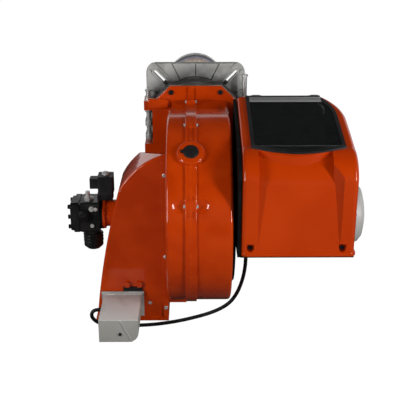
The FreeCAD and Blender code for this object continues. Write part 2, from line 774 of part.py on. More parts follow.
def casting_outside():
    drum = drum_block(-dim.drum_left, dim.drum_right, 0)
    rims = [edge for edge in drum.Edges if edge.BoundBox.XLength < 0.01]
    drum = drum.makeFillet(dim.drum_rounding, rims)
    rib_left, rib_right = dim.split_across - dim.split_rib_half, dim.split_across + dim.split_rib_half
    rib = drum_block(rib_left, rib_right, dim.split_rib_proud)
    rib = rib.makeFillet(1.5, [edge for edge in rib.Edges if edge.BoundBox.XLength < 0.01])
    neck = side_prism(-dim.neck_left, dim.neck_right, [
        (-dim.plate_face, neck_top), (plate_back, neck_top), (-dim.neck_low_back, neck_low),
        (-dim.fan_back, neck_low), (-dim.fan_back, -dim.neck_bottom), (-dim.plate_face, -dim.neck_bottom)])
    neck = neck.makeFillet(dim.drum_rounding, [
        edge for edge in neck.Edges if edge.BoundBox.XLength < 0.01 and edge.BoundBox.YLength > 1
        and (edge.CenterOfMass.z > 0 or runs_along(edge, (0, 1, 0)))])
    outline = [(dim.plate_half, dim.plate_shoulder), (dim.plate_top_half, dim.plate_top),
               (-dim.plate_top_half, dim.plate_top), (-dim.plate_half, dim.plate_shoulder),
               (-dim.plate_half, -dim.plate_shoulder), (-dim.plate_top_half, -dim.plate_top),
               (dim.plate_top_half, -dim.plate_top), (dim.plate_half, -dim.plate_shoulder)]
    corners = [FreeCAD.Vector(across, plate_back, up) for across, up in outline]
    door = Part.Face(Part.makePolygon(corners + corners[:1])).extrude(FreeCAD.Vector(0, dim.plate_thick, 0))
    door = door.makeFillet(2.5, [edge for edge in door.Edges if abs(edge.BoundBox.YMax - plate_back) < 0.01])
    strip = span(FreeCAD.Vector(dim.split_across - dim.strip_half, plate_back - 5, neck_top - 5),
                 FreeCAD.Vector(dim.split_across + dim.strip_half, plate_back + 2, dim.plate_top - 3))
    proud = dim.split_rib_proud
    ridge = side_prism(dim.split_across - dim.split_rib_half, dim.split_across + dim.split_rib_half, [
        (plate_back + 2, neck_top + proud), (-dim.neck_low_back, neck_low + proud),
        (-dim.neck_low_back, neck_low - proud), (plate_back + 2, neck_top - proud)])
    clamp_lug = span(FreeCAD.Vector(dim.split_across - dim.clamp_half, -dim.clamp_back, neck_low),
                     FreeCAD.Vector(dim.split_across + dim.clamp_half, -dim.clamp_back + dim.clamp_length,
                                    dim.clamp_top))
    clamp_lug = clamp_lug.makeFillet(3, [edge for edge in clamp_lug.Edges if runs_along(edge, (1, 0, 0))
                                         and edge.CenterOfMass.z > neck_low + 1])
    foot = span(FreeCAD.Vector(-dim.drum_left, -dim.fan_back - dim.foot_half, -dim.foot_low),
                FreeCAD.Vector(dim.split_across - dim.split_rib_half, -dim.fan_back + dim.foot_half,
                               -dim.foot_low + dim.foot_height))
    foot = foot.makeFillet(3, [edge for edge in foot.Edges if runs_along(edge, (1, 0, 0))
                               and edge.CenterOfMass.z < -dim.foot_low + 1])
    boss_foot = drum_point(dim.boss_angle, -10, dim.split_across)
    boss = Part.makeCylinder(dim.boss_radius, dim.boss_proud + 10, boss_foot, drum_normal(dim.boss_angle))
    crown = [edge for edge in boss.Edges
             if edge.Closed and (edge.CenterOfMass - boss_foot).Length > dim.boss_proud]
    boss = boss.makeFillet(7, crown)
    pieces = [rib, neck, door, strip, ridge, clamp_lug, foot, boss]
    upper, lower = lug_heights()
    for across, inner in ((dim.hinge_left, -dim.neck_left), (dim.hinge_right, dim.neck_right)):
        pieces += hinge_lug(across, upper, inner) + hinge_lug(across, lower, inner)
        near = math.copysign(dim.neck_left, across)
        far = math.copysign(abs(across) - dim.knuckle_radius - 3, across)
        pieces.append(span(FreeCAD.Vector(min(near, far), plate_back, lower),
                           FreeCAD.Vector(max(near, far), -dim.plate_face, upper + dim.lug_height)))
    return drum.fuse(pieces)


def clamp_spot(across):
    """Axis of the screw through the lug on the neck."""
    return FreeCAD.Vector(across, -dim.clamp_back + dim.clamp_length / 2, dim.clamp_top - dim.clamp_half / 2)


def casting_inside():
    """Everything that is hollow in the casting: drum, duct, openings, bores and pockets."""
    wall = dim.shell_wall
    cavity = drum_block(-dim.drum_left + wall, dim.drum_right - wall, -wall)
    front = -dim.plate_face + 1
    duct = side_prism(-dim.neck_left + wall, dim.neck_right - wall, [
        (-dim.fan_back, neck_low - wall), (-dim.neck_low_back, neck_low - wall), (plate_back, neck_top - wall),
        (front, neck_top - wall), (front, -dim.neck_bottom + wall),
        (-dim.fan_back + 100, -dim.neck_bottom + wall), (-dim.fan_back + 50, -41), (-dim.fan_back, -36)])
    centre = FreeCAD.Vector(0, -dim.fan_back, -dim.fan_down)
    inlet = Part.makeCylinder(dim.inlet_radius, 3 * wall, centre - RIGHTWARDS * (dim.drum_left + wall), RIGHTWARDS)
    motor_hole = Part.makeCylinder(dim.motor_opening, 3 * wall, centre + RIGHTWARDS * (dim.drum_right - 2 * wall),
                                   RIGHTWARDS)
    out = drum_normal(dim.boss_angle)
    glass_foot = drum_point(dim.boss_angle, dim.cap_seat - dim.glass_thick - dim.seat_gap, dim.split_across)
    tools = [duct, inlet, motor_hole,
             Part.makeCylinder(dim.cap_radius + dim.seat_gap, 30,
                               drum_point(dim.boss_angle, dim.cap_seat, dim.split_across), out),
             Part.makeCylinder(dim.glass_radius, dim.glass_thick + 1, glass_foot, out),
             Part.makeCylinder(dim.glass_radius - 3, 30, drum_point(dim.boss_angle, -20, dim.split_across), out),
             rib_channel(15, 18.6), rib_channel(24, 27), rib_channel(59, 70.5)]
    ball = (dim.dish_radius ** 2 + dim.dish_deep ** 2) / (2 * dim.dish_deep)
    backs = []
    bolt_start = dim.split_across - dim.split_rib_half - dim.rib_screw_head_height
    bolt_length = 2 * dim.split_rib_half + 2 * dim.rib_screw_head_height
    for side in (-1, 1):
        middle = drum_point(dim.rib_screw_low, ball - dim.dish_deep,
                            dim.split_across + side * (dim.split_rib_half + dim.dish_across))
        keep = drum_point(dim.rib_screw_low, 0, dim.split_across + side * dim.split_rib_half)
        half = span(keep - FreeCAD.Vector(0 if side > 0 else 80, 60, 60),
                    keep + FreeCAD.Vector(80 if side > 0 else 0, 60, 60))
        tools.append(Part.makeSphere(ball, middle).common(half))
        backs.append(Part.makeSphere(ball + wall, middle))
    for angle in (dim.rib_screw_low, dim.rib_screw_high):
        tools.append(Part.makeCylinder(dim.rib_screw_radius, bolt_length,
                                       drum_point(angle, dim.rib_screw_up, bolt_start), RIGHTWARDS))
    for start, length in ((bolt_start - 2, dim.rib_screw_head_height + 2),
                          (dim.split_across + dim.split_rib_half, dim.rib_screw_head_height + 2)):
        foot = drum_point(dim.rib_screw_high, dim.rib_screw_up, start)
        tools.append(Part.makeCylinder(dim.rib_screw_head + 1, length, foot, RIGHTWARDS))
        backs.append(Part.makeCylinder(dim.rib_screw_head + 1 + wall, length + 2 * wall,
                                       foot - RIGHTWARDS * wall, RIGHTWARDS))
    tools.append(Part.makeCylinder(dim.rib_screw_radius, 2 * dim.clamp_half,
                                   clamp_spot(dim.split_across - dim.clamp_half), RIGHTWARDS))
    upper, lower = lug_heights()
    upright = FreeCAD.Vector(0, 0, 1)
    for low in (upper, lower):
        tools.append(Part.makeCylinder(dim.pin_radius + dim.running_gap, dim.lug_height,
                                       FreeCAD.Vector(dim.hinge_left, -dim.hinge_back, low), upright))
        jaw = dim.pin_radius + dim.jaw_gap
        tools.append(Part.makeCylinder(jaw, dim.lug_height, FreeCAD.Vector(dim.hinge_right, -dim.hinge_back, low),
                                       upright))
        tools.append(span(FreeCAD.Vector(dim.hinge_right - jaw, -dim.hinge_back, low),
                          FreeCAD.Vector(dim.hinge_right + jaw, 0, low + dim.lug_height)))
    for across in (-1, 1):
        for along in (-1, 1):
            tools.append(Part.makeCylinder(dim.plate_bolt_radius, 3 * dim.plate_thick, FreeCAD.Vector(
                across * dim.plate_bolt_across, plate_back - dim.plate_thick, along * dim.plate_bolt_up),
                FreeCAD.Vector(0, 1, 0)))
    return cavity.cut(backs).fuse(tools)


casting = casting_outside().cut(casting_inside())
far = 1000
left_side = span(FreeCAD.Vector(-far, -far, -far), FreeCAD.Vector(dim.split_across, far, far))
right_side = span(FreeCAD.Vector(dim.split_across, -far, -far), FreeCAD.Vector(far, far, far))
node("left_body_shell", solid("left_body_shell", casting.common(left_side)))
node("right_body_shell", solid("right_body_shell", casting.common(right_side)))

# Rope seal on the plate's front face, and the dark bolts at its corners
seal_plate = plate("seal_plate", plate_outline, "seal_thick", ("0", "-plate_face + seal_thick", "0"), "rear")
seal_holes = [cylinder("seal_hole_%d" % index, "plate_bolt_radius", "plate_thick", (
    "%s plate_bolt_across" % "+-"[index % 2], "-plate_face + plate_thick / 2", "%s plate_bolt_up" % "+-"[index // 2]),
    "rear") for index in range(4)]
seal_passage = cylinder("seal_passage", "passage_radius", "2 * plate_face", ("0", "0", "0"), "rear")
node("door_seal", cut("door_seal", seal_plate, seal_passage, *seal_holes))
bolt_profile = [("0", "-plate_thick - seal_thick"), ("plate_bolt_radius", "-plate_thick - seal_thick"),
                ("plate_bolt_radius", "0"), ("plate_bolt_radius + 3", "0"), ("plate_bolt_radius + 3", "4"),
                ("2", "4"), ("2", "1.5"), ("0", "1.5")]
node("plate_bolts", fuse("plate_bolts", *[
    turned("plate_bolt_%d" % index, bolt_profile, (
        "%s plate_bolt_across" % "+-"[index % 2], "-plate_face - plate_thick", "%s plate_bolt_up" % "+-"[index // 2]),
        "rear") for index in range(4)]))


def rib_screws():
    """Cross screws that pull the two halves together, with a head on each side of the rib."""
    screws = []
    for angle in (dim.rib_screw_low, dim.rib_screw_high):
        left = dim.split_across - dim.split_rib_half
        right = dim.split_across + dim.split_rib_half
        shank = Part.makeCylinder(dim.rib_screw_radius, right - left, drum_point(angle, dim.rib_screw_up, left), RIGHTWARDS)
        head = Part.makeCylinder(dim.rib_screw_head, dim.rib_screw_head_height,
                                 drum_point(angle, dim.rib_screw_up, left - dim.rib_screw_head_height), RIGHTWARDS)
        nut = Part.makeCylinder(dim.rib_screw_head, dim.rib_screw_head_height, drum_point(angle, dim.rib_screw_up, right), RIGHTWARDS)
        screws.append(shank.fuse([head, nut]).removeSplitter())
    left, right = dim.split_across - dim.clamp_half, dim.split_across + dim.clamp_half
    shank = Part.makeCylinder(dim.rib_screw_radius, right - left, clamp_spot(left), RIGHTWARDS)
    ends = [Part.makeCylinder(dim.rib_screw_head, dim.rib_screw_head_height, clamp_spot(start), RIGHTWARDS)
            for start in (left - dim.rib_screw_head_height, right)]
    return Part.makeCompound(screws + [shank.fuse(ends).removeSplitter()])


node("shell_screws", solid("shell_screws", rib_screws()))
node("sight_glass", solid("sight_glass", Part.makeCylinder(
    dim.glass_radius, dim.glass_thick,
    drum_point(dim.boss_angle, dim.cap_seat - dim.glass_thick - dim.seat_gap, dim.split_across),
    drum_normal(dim.boss_angle))))

# Black plug of the flame sight, with its pull tab


def sight_plug():
    out = drum_normal(dim.boss_angle)
    foot = drum_point(dim.boss_angle, dim.cap_seat + dim.seat_gap, dim.split_across)
    plug = Part.makeCylinder(dim.cap_radius, dim.cap_height, foot, out)
    crown = [edge for edge in plug.Edges if edge.Closed and (edge.CenterOfMass - foot).Length > dim.cap_height / 2]
    plug = plug.makeFillet(dim.cap_rounding, crown)
    tab = Part.makeBox(dim.tab_length + dim.cap_radius, dim.tab_width, dim.tab_thick)
    tab.translate(FreeCAD.Vector(-dim.tab_length - dim.cap_radius, -dim.tab_width / 2, 0))
    tab.Placement = FreeCAD.Placement(drum_point(dim.boss_angle, dim.boss_proud + 1, dim.split_across),
                                      FreeCAD.Rotation(FreeCAD.Vector(0, 0, 1), out)).multiply(tab.Placement)
    return plug.fuse(tab).removeSplitter()


node("sight_cap", solid("sight_cap", sight_plug()))

# Air intake box on the left of the drum, open at the bottom


def rear_prism(edges_or_points, back, depth):
    """A solid whose outline lies in the rear view, from one place along Y and on by a depth."""
    wire = Part.Wire(edges_or_points)
    face = Part.Face(wire)
    face.translate(FreeCAD.Vector(0, back, 0))
    return face.extrude(FreeCAD.Vector(0, depth, 0))


def intake_outline(inset, below):
    """Outline of the intake box seen from the rear, moved inwards by an inset."""
    right = -dim.drum_left - inset
    top = dim.intake_top - inset
    low = dim.intake_bottom - below
    shift = FreeCAD.Vector(inset, 0, -inset * 0.3)
    brow = FreeCAD.Vector(dim.brow_across, 0, dim.brow_up) + FreeCAD.Vector(inset * 0.45, 0, -inset * 0.9)
    waist = FreeCAD.Vector(dim.waist_across, 0, dim.waist_up) + FreeCAD.Vector(inset * 0.95, 0, -inset * 0.4)
    flank = FreeCAD.Vector(dim.flank_across, 0, dim.flank_up) + shift
    foot = FreeCAD.Vector(dim.foot_across + inset, 0, low)
    corner = FreeCAD.Vector(right, 0, top)
    base = FreeCAD.Vector(right, 0, low)
    return [Part.LineSegment(base, corner).toShape(), Part.Arc(corner, brow, waist).toShape(),
            Part.Arc(waist, flank, foot).toShape(), Part.LineSegment(foot, base).toShape()]


def above_top(below):
    """All that lies over the top face, which slopes down towards the boiler side."""
    rear, front = -dim.intake_rear, -dim.intake_front
    fall = (dim.intake_top_front - dim.intake_top) / (front - rear)
    past = front + 10
    return side_prism(-400, -dim.drum_left + 1, [
        (rear - 10, dim.intake_top - 10 * fall - below), (past, dim.intake_top + (past - rear) * fall - below),
        (past, 0), (rear - 10, 0)])


def intake_shape():
    depth = dim.intake_rear - dim.intake_front
    outer = rear_prism(intake_outline(0, 0), -dim.intake_rear, depth)
    rims = [edge for edge in outer.Edges if abs(edge.BoundBox.YMin + dim.intake_rear) < 0.01
            and edge.BoundBox.YLength < 0.01 and edge.CenterOfMass.z > dim.intake_bottom + 1
            and edge.CenterOfMass.x < -dim.drum_left - 1]
    outer = outer.makeFillet(6, rims).cut(above_top(0))
    flange = span(FreeCAD.Vector(-dim.drum_left - 14, -dim.intake_rear - 3, dim.intake_bottom),
                  FreeCAD.Vector(-dim.drum_left, -dim.intake_rear + 3, dim.intake_top - 20))
    lip = rear_prism(intake_outline(-3, 0), -dim.intake_rear - 3, depth + 6)
    lip_zone = span(FreeCAD.Vector(-400, -400, dim.intake_bottom),
                    FreeCAD.Vector(-dim.drum_left, 0, dim.intake_bottom + 10))
    inner = rear_prism(intake_outline(dim.intake_wall, 10), -dim.intake_rear + dim.intake_wall,
                       depth - 2 * dim.intake_wall).cut(above_top(dim.intake_wall))
    centre = FreeCAD.Vector(0, -dim.fan_back, -dim.fan_down)
    inlet = Part.makeCylinder(dim.inlet_radius, 3 * dim.intake_wall,
                              centre - RIGHTWARDS * (dim.drum_left + 2 * dim.intake_wall), RIGHTWARDS)
    shaft_way = Part.makeCylinder(dim.coupling_hole, 100, centre - RIGHTWARDS * 300, RIGHTWARDS)
    bores = []
    for number in range(2):
        spot = FreeCAD.Vector(dim.damper_first + number * dim.damper_pitch, -dim.intake_rear - 5, dim.damper_up)
        bores.append(Part.makeCylinder(dim.damper_shaft_radius + dim.running_gap, depth + 10, spot,
                                       FreeCAD.Vector(0, 1, 0)))
    for up in intake_screw_heights():
        bores.append(Part.makeCylinder(2.5, 9, FreeCAD.Vector(intake_screw_across(), -dim.intake_rear - 4, up),
                                       FreeCAD.Vector(0, 1, 0)))
    lugs = []
    for across in (dim.servo_lug_left, dim.servo_lug_right):
        lug = span(FreeCAD.Vector(across - 6.5, -dim.intake_rear - 8, dim.servo_lug_low),
                   FreeCAD.Vector(across + 6.5, -dim.intake_rear + 1, dim.servo_lug_low + 14))
        lugs.append(lug.makeFillet(2.5, [edge for edge in lug.Edges if runs_along(edge, (0, 1, 0))]))
    return outer.fuse([flange, lip.common(lip_zone)] + lugs).cut(inner.fuse([inlet, shaft_way] + bores))


def intake_screw_across():
    return -dim.drum_left - dim.intake_screw_inset


def intake_screw_heights():
    return [dim.intake_top - 55, -dim.fan_down - 93, dim.intake_bottom + 40]


node("intake_box", solid("intake_box", intake_shape()))


def round_head_screws(spots, radius, head, height, length, direction):
    """Pan-head screws with a cross recess; each spot is the seat of a head."""
    screws = []
    for spot in spots:
        shank = Part.makeCylinder(radius, length, spot, direction)
        cap = Part.makeCylinder(head, height, spot - direction * height, direction)
        crown = [edge for edge in cap.Edges if edge.Closed
                 and abs((edge.CenterOfMass - spot).Length - height) < 0.01]
        cap = cap.makeFillet(height * 0.45, crown)
        turn = FreeCAD.Rotation(FreeCAD.Vector(0, 0, 1), direction)
        whole = shank.fuse(cap)
        for angle in (0, 90):
            slot = Part.makeBox(head * 1.1, head * 0.25, height * 0.5,
                                FreeCAD.Vector(-head * 0.55, -head * 0.125, -height))
            slot.rotate(FreeCAD.Vector(), FreeCAD.Vector(0, 0, 1), angle)
            slot.Placement = FreeCAD.Placement(spot, turn).multiply(slot.Placement)
            whole = whole.cut(slot)
        screws.append(whole)
    return Part.makeCompound(screws)


AHEAD = FreeCAD.Vector(0, 1, 0)
DOWNWARDS = FreeCAD.Vector(0, 0, -1)
node("intake_screws", solid("intake_screws", round_head_screws(
    [FreeCAD.Vector(intake_screw_across(), -dim.intake_rear - 3, up) for up in intake_screw_heights()],
    2.5, 5, 3.2, 6, AHEAD)))

# Inlet cone between the intake box and the fan, inside the drum
node("inlet_cone", turned("inlet_cone", [
    ("inlet_radius", "0"), ("inlet_radius + 22", "0"), ("inlet_radius + 22", "3"),
    ("inlet_radius + 5", "3"), ("inlet_radius + 40", "14"), ("inlet_radius + 38", "16"), ("inlet_radius", "4")],
    ("-drum_left + shell_wall", "-fan_back", "-fan_down"), "right"))

# Damper: two blades that turn together on shafts along Y, tied by a bar between their cranks
def crank_spot(number, behind):
    """Centre of a crank pin at rest, turned back from the top, at a place behind the box wall."""
    turn = math.radians(dim.crank_back_turn)
    return FreeCAD.Vector(dim.damper_first + number * dim.damper_pitch - dim.crank_radius * math.sin(turn),
                          -dim.intake_rear + dim.intake_wall + behind,
                          dim.damper_up + dim.crank_radius * math.cos(turn))


def damper_blade(number):
    """Shaft, blade and crank in one; only the left shaft goes on to the servo."""
    across = dim.damper_first + number * dim.damper_pitch
    inside_rear = -dim.intake_rear + dim.intake_wall
    inside_front = -dim.intake_front - dim.intake_wall
    half_thick = dim.blade_thick / 2
    blade = span(FreeCAD.Vector(across - dim.blade_half, inside_rear + dim.blade_behind, dim.damper_up - half_thick),
                 FreeCAD.Vector(across + dim.blade_half, inside_front - 1, dim.damper_up + half_thick))
    start = -dim.intake_rear - (dim.drive_end if number == 0 else 0)
    shaft = Part.makeCylinder(dim.damper_shaft_radius, -dim.intake_front - start,
                              FreeCAD.Vector(across, start, dim.damper_up), AHEAD)
    arm_back = inside_rear + dim.crank_behind
    arm = span(FreeCAD.Vector(across - dim.crank_half, arm_back, dim.damper_up),
               FreeCAD.Vector(across + dim.crank_half, arm_back + dim.link_thick,
                              dim.damper_up + dim.crank_radius + dim.crank_half))
    arm.rotate(FreeCAD.Vector(across, 0, dim.damper_up), AHEAD, -dim.crank_back_turn)
    pin = Part.makeCylinder(dim.crank_pin, dim.crank_pin_length, crank_spot(number, dim.seat_gap), AHEAD)
    return blade.fuse([shaft, arm, pin]).removeSplitter()


def damper_bar():
    """Bar with an eye at each end, on the crank pins."""
    spots = [crank_spot(number, dim.link_behind) for number in (0, 1)]
    half_high = FreeCAD.Vector(0, 0, dim.link_thick)
    bar = span(spots[0] - half_high, spots[1] + half_high + AHEAD * dim.link_thick)
    eyes = [Part.makeCylinder(dim.link_eye, dim.link_thick, spot, AHEAD) for spot in spots]
    holes = [Part.makeCylinder(dim.crank_pin + dim.running_gap, dim.link_thick, spot, AHEAD) for spot in spots]
    return bar.fuse(eyes).cut(holes).removeSplitter()


node("damper_blade_left", solid("damper_blade_left", damper_blade(0)))
node("damper_blade_right", solid("damper_blade_right", damper_blade(1)))
node("damper_link", solid("damper_link", damper_bar()))

# Servo on the rear face of the intake box, on a light base plate and a black bracket


def servo_facet():
    """What the slanting facet takes off the cover, from a crease that runs down across the rear face."""
    top = FreeCAD.Vector(-198, -dim.servo_rear, dim.servo_top)
    crease = FreeCAD.Vector(-165, -dim.servo_rear, dim.servo_bottom) - top
    across = FreeCAD.Vector(dim.servo_right, -dim.servo_rear + dim.facet_deep, dim.servo_top) - top
    out = crease.cross(across).normalize()
    out = out if out.y < 0 else -out
    sideways = crease.cross(out).normalize()
    corners = [top - crease - sideways * 60, top + crease * 2 - sideways * 60,
               top + crease * 2 + sideways * 100, top - crease + sideways * 100]
    if (corners[2] - corners[1]).x < 0:
        corners = [corner + sideways * -40 for corner in corners]
    return Part.Face(Part.makePolygon(corners + corners[:1])).extrude(out * 60)


def servo_shape():
    """Cover of the servo: a box with one rounded side, a bevelled facet and a diagonal step."""
    left, right = dim.servo_left, dim.servo_right
    rear, front = -dim.servo_rear, -dim.servo_front
    block = span(FreeCAD.Vector(left, rear, dim.servo_bottom), FreeCAD.Vector(right, front, dim.servo_top))
    side = [edge for edge in block.Edges if runs_along(edge, (0, 1, 0)) and edge.CenterOfMass.x > right - 1]
    block = block.makeFillet(dim.servo_rounding, [edge for edge in side if edge.CenterOfMass.z > dim.servo_top - 1])
    low = [edge for edge in block.Edges if runs_along(edge, (0, 1, 0)) and edge.CenterOfMass.x > right - 1
           and edge.CenterOfMass.z < dim.servo_bottom + 1]
    block = block.makeFillet(dim.servo_rounding / 2, low)
    rims = [edge for edge in block.Edges if abs(edge.BoundBox.YMax - rear) < 0.01]
    block = block.makeFillet(2, rims)
    seam = span(FreeCAD.Vector(left - 1, front - 42, dim.servo_bottom - 1),
                FreeCAD.Vector(right + 1, front - 41, dim.servo_top + 1))
    core = span(FreeCAD.Vector(left + 1, front - 50, dim.servo_bottom + 1),
                FreeCAD.Vector(right - 1, front - 30, dim.servo_top - 1))
    core = core.makeFillet(dim.servo_rounding - 2, [edge for edge in core.Edges if runs_along(edge, (0, 1, 0))
                                                    and edge.CenterOfMass.x > 0 - 148.5
                                                    and edge.CenterOfMass.z > dim.servo_top - 2])
    hole = Part.makeCylinder(2, 8, FreeCAD.Vector(dim.servo_screw_across, rear, dim.servo_screw_up), AHEAD)
    drive = Part.makeCylinder(dim.damper_shaft_radius + 1, 20, FreeCAD.Vector(dim.damper_first, front - 19,
                                                                              dim.damper_up), AHEAD)
    return block.cut(seam.cut(core)).cut([hole, drive, servo_facet()])


node("servo_housing", solid("servo_housing", servo_shape()))
node("servo_screw", solid("servo_screw", round_head_screws(
    [FreeCAD.Vector(dim.servo_screw_across, -dim.servo_rear, dim.servo_screw_up)], 2, 4.5, 2.4, 7, AHEAD)))
servo_plate = box("servo_plate", ("servo_left - base_margin", "servo_right + base_margin"),
                  ("-servo_front", "-servo_front + base_thick"), ("servo_bottom - 4", "servo_top + base_margin"))
servo_way = cylinder("servo_way", "damper_shaft_radius + 1", "base_thick + 2",
                     ("damper_first", "-servo_front - 1", "damper_up"), "front")
node("servo_base", cut("servo_base", servo_plate, servo_way))
bracket_back = "-intake_rear - bracket_thick - seat_gap / 3"
node("servo_bracket", box("servo_bracket", ("servo_right - 49", "servo_right + 3"), (bracket_back, "-intake_rear"),
                          ("servo_bottom - 4", "servo_top + 18")))

# Oil pump on the left, driven through the intake box


def spacer_shape():
    start = FreeCAD.Vector(-dim.spacer_left, -dim.fan_back, -dim.fan_down)
    barrel = Part.makeCylinder(dim.spacer_radius, 60, start, RIGHTWARDS)
    flange = Part.makeCylinder(dim.spacer_radius + 6, 6, start, RIGHTWARDS)
    way = Part.makeCylinder(dim.coupling_hole, 60, start, RIGHTWARDS)
    depth = dim.intake_rear - dim.intake_front
    box_solid = rear_prism(intake_outline(0, 0), -dim.intake_rear, depth)
    return barrel.fuse(flange).cut(box_solid).cut(way).removeSplitter()


node("pump_spacer", solid("pump_spacer", spacer_shape()))


def pump_shape():
    """Cast pump body: a block with a mounting flange, ports and a drive bore."""
    rear, front = -dim.fan_back - dim.pump_half, -dim.fan_back + dim.pump_half
    low, high = -dim.fan_down - dim.pump_half, -dim.fan_down + dim.pump_half
    left = -dim.pump_left + dim.pump_cover_thick
    block = span(FreeCAD.Vector(left, rear, low), FreeCAD.Vector(-dim.spacer_left - 8, front, high))
    block = block.makeFillet(dim.pump_corner, [edge for edge in block.Edges if runs_along(edge, (1, 0, 0))])
    waist = span(FreeCAD.Vector(left + 14, rear - 5, low - 5), FreeCAD.Vector(left + 19, front + 5, high + 5))
    core = span(FreeCAD.Vector(left + 13, rear + 3, low + 3), FreeCAD.Vector(left + 20, front - 3, high - 3))
    block = block.cut(waist.cut(core))
    flange = Part.makeCylinder(dim.pump_half - 2, 8, FreeCAD.Vector(-dim.spacer_left - 8, -dim.fan_back, -dim.fan_down),
                               RIGHTWARDS)
    ears = span(FreeCAD.Vector(-dim.spacer_left - 8, -dim.fan_back - 10, low),
                FreeCAD.Vector(-dim.spacer_left, -dim.fan_back + 10, high))
    boss = Part.makeCylinder(17, 12, FreeCAD.Vector(-dim.pump_left + 33, rear - 12, -dim.fan_down + 9), AHEAD)
    drive = Part.makeCylinder(14, 20, FreeCAD.Vector(-dim.spacer_left - 20, -dim.fan_back, -dim.fan_down), RIGHTWARDS)
    ports = [Part.makeCylinder(dim.port_radius, dim.port_depth, FreeCAD.Vector(
        -dim.port_left, front - dim.port_depth, -dim.fan_down + side * dim.port_apart), AHEAD)
        for side in (-1, 1)]
    return block.fuse([flange, ears, boss]).cut(drive.fuse(ports)).removeSplitter()


node("pump_body", solid("pump_body", pump_shape()))
pump_cover_blank = box("pump_cover_blank", ("-pump_left", "-pump_left + pump_cover_thick"),
                       ("-fan_back - pump_half + 3", "-fan_back + pump_half - 3"),
                       ("-fan_down - pump_half + 3", "-fan_down + pump_half - 3"))
pump_cover_round = round_edges("pump_cover_round", pump_cover_blank, dim.pump_corner + 3,
                               lambda middle, edge: runs_along(edge, (1, 0, 0)))
pump_cover = round_edges("pump_cover", pump_cover_round, 2, lambda middle, edge:
                         abs(middle.x + dim.pump_left) < 0.01)
node("pump_cover", pump_cover)


def hex_prism(across_flats, length, foot, direction, bore=0):
    corners = []
    reach = across_flats / math.sqrt(3)
    for index in range(6):
        angle = math.radians(60 * index)
        corners.append(FreeCAD.Vector(reach * math.cos(angle), reach * math.sin(angle), 0))
    prism = Part.Face(Part.makePolygon(corners + corners[:1])).extrude(FreeCAD.Vector(0, 0, length))
    crown = 0.93 * reach
    prism = prism.common(Part.makeCone(crown + length, crown, length))
    if bore:
        prism = prism.cut(Part.makeCylinder(bore, length))
    prism.Placement = FreeCAD.Placement(foot, FreeCAD.Rotation(FreeCAD.Vector(0, 0, 1), direction))
    return prism


LEFTWARDS = FreeCAD.Vector(-1, 0, 0)
REARWARDS = FreeCAD.Vector(0, -1, 0)
UPWARDS = FreeCAD.Vector(0, 0, 1)
cover_bolt_spots = [FreeCAD.Vector(-dim.pump_left, -dim.fan_back + side * dim.cover_bolt_apart,
                                   -dim.fan_down + row * dim.cover_bolt_apart)
                    for side in (-1, 1) for row in (-1, 0, 1)]
node("pump_cover_bolts", solid("pump_cover_bolts", Part.makeCompound([
    hex_prism(dim.cover_bolt_flats, dim.cover_bolt_head, spot, LEFTWARDS) for spot in cover_bolt_spots])))


def pump_fittings():
    """Silver screws, banjo and hex fittings on the pump."""
    high = -dim.fan_down + dim.pump_half
    rear = -dim.fan_back - dim.pump_half
    top_fitting = hex_prism(17, 10, FreeCAD.Vector(-288, -dim.fan_back - 16, high), UPWARDS)
    top_stem = Part.makeCylinder(6, 26, FreeCAD.Vector(-288, -dim.fan_back - 16, high), UPWARDS)
    side_stud = Part.makeCylinder(5, 16, FreeCAD.Vector(-276, rear - 12, high - 14), AHEAD)
    side_stud = side_stud.fuse(hex_prism(13, 6, FreeCAD.Vector(-276, rear, high - 14), REARWARDS))
    low_screw = Part.makeCylinder(5, 5, FreeCAD.Vector(-276, rear - 5, -dim.fan_down - 20), AHEAD)
    return Part.makeCompound([top_fitting.fuse(top_stem).removeSplitter(),
                              side_stud.common(span(FreeCAD.Vector(-400, -500, -400),
                                                    FreeCAD.Vector(0, rear, 0))).removeSplitter(), low_screw])


node("pump_fittings", solid("pump_fittings", pump_fittings()))
node("pump_filter_cap", turned("pump_filter_cap", [
    ("0", "0"), ("filter_radius - 6", "0"), ("filter_radius - 6", "8"), ("filter_radius", "12"),
    ("filter_radius", "filter_height - 8"), ("filter_radius - 8", "filter_height"), ("0", "filter_height")],
    ("-spacer_left - 30", "-fan_back - 6", "-fan_down - pump_half"), "down"))

# Solenoid valve that stands on the pump: block, stem with its nut, and the square coil round it
valve_block = box("valve_block_blank", ("-spacer_left - 14", "valve_across + 18"), ("-fan_back - 18", "-fan_back + 18"),
                  ("-fan_down + pump_half", "-fan_down + pump_half + valve_block_height"))
node("valve_block", round_edges("valve_block_round", valve_block, 3,
                                lambda middle, edge: runs_along(edge, (0, 0, 1))))
coil_low = "-fan_down + pump_half + valve_block_height"
coil_blank = box("coil_blank", ("valve_across - coil_half", "valve_across + coil_half"),
                 ("-fan_back - coil_half - 3", "-fan_back + coil_half + 3"), (coil_low, "(%s) + coil_height" % coil_low))
coil_plug = box("coil_plug", ("valve_across - coil_half - 22", "valve_across - coil_half"),
                ("-fan_back - 13", "-fan_back + 13"), ("(%s) + 14" % coil_low, "(%s) + 42" % coil_low))
coil_bore = cylinder("coil_bore", "7.3", "coil_height + 2", ("valve_across", "-fan_back", "(%s) - 1" % coil_low), "up")
coil_cut = cut("coil_cut", fuse("coil_whole", coil_blank, coil_plug), coil_bore)
node("solenoid_coil", round_edges("solenoid_coil", coil_cut, 3.5, lambda middle, edge: runs_along(edge, (0, 0, 1))
                                  and abs(abs(middle.y + dim.fan_back) - dim.coil_half - 3) < 0.1))
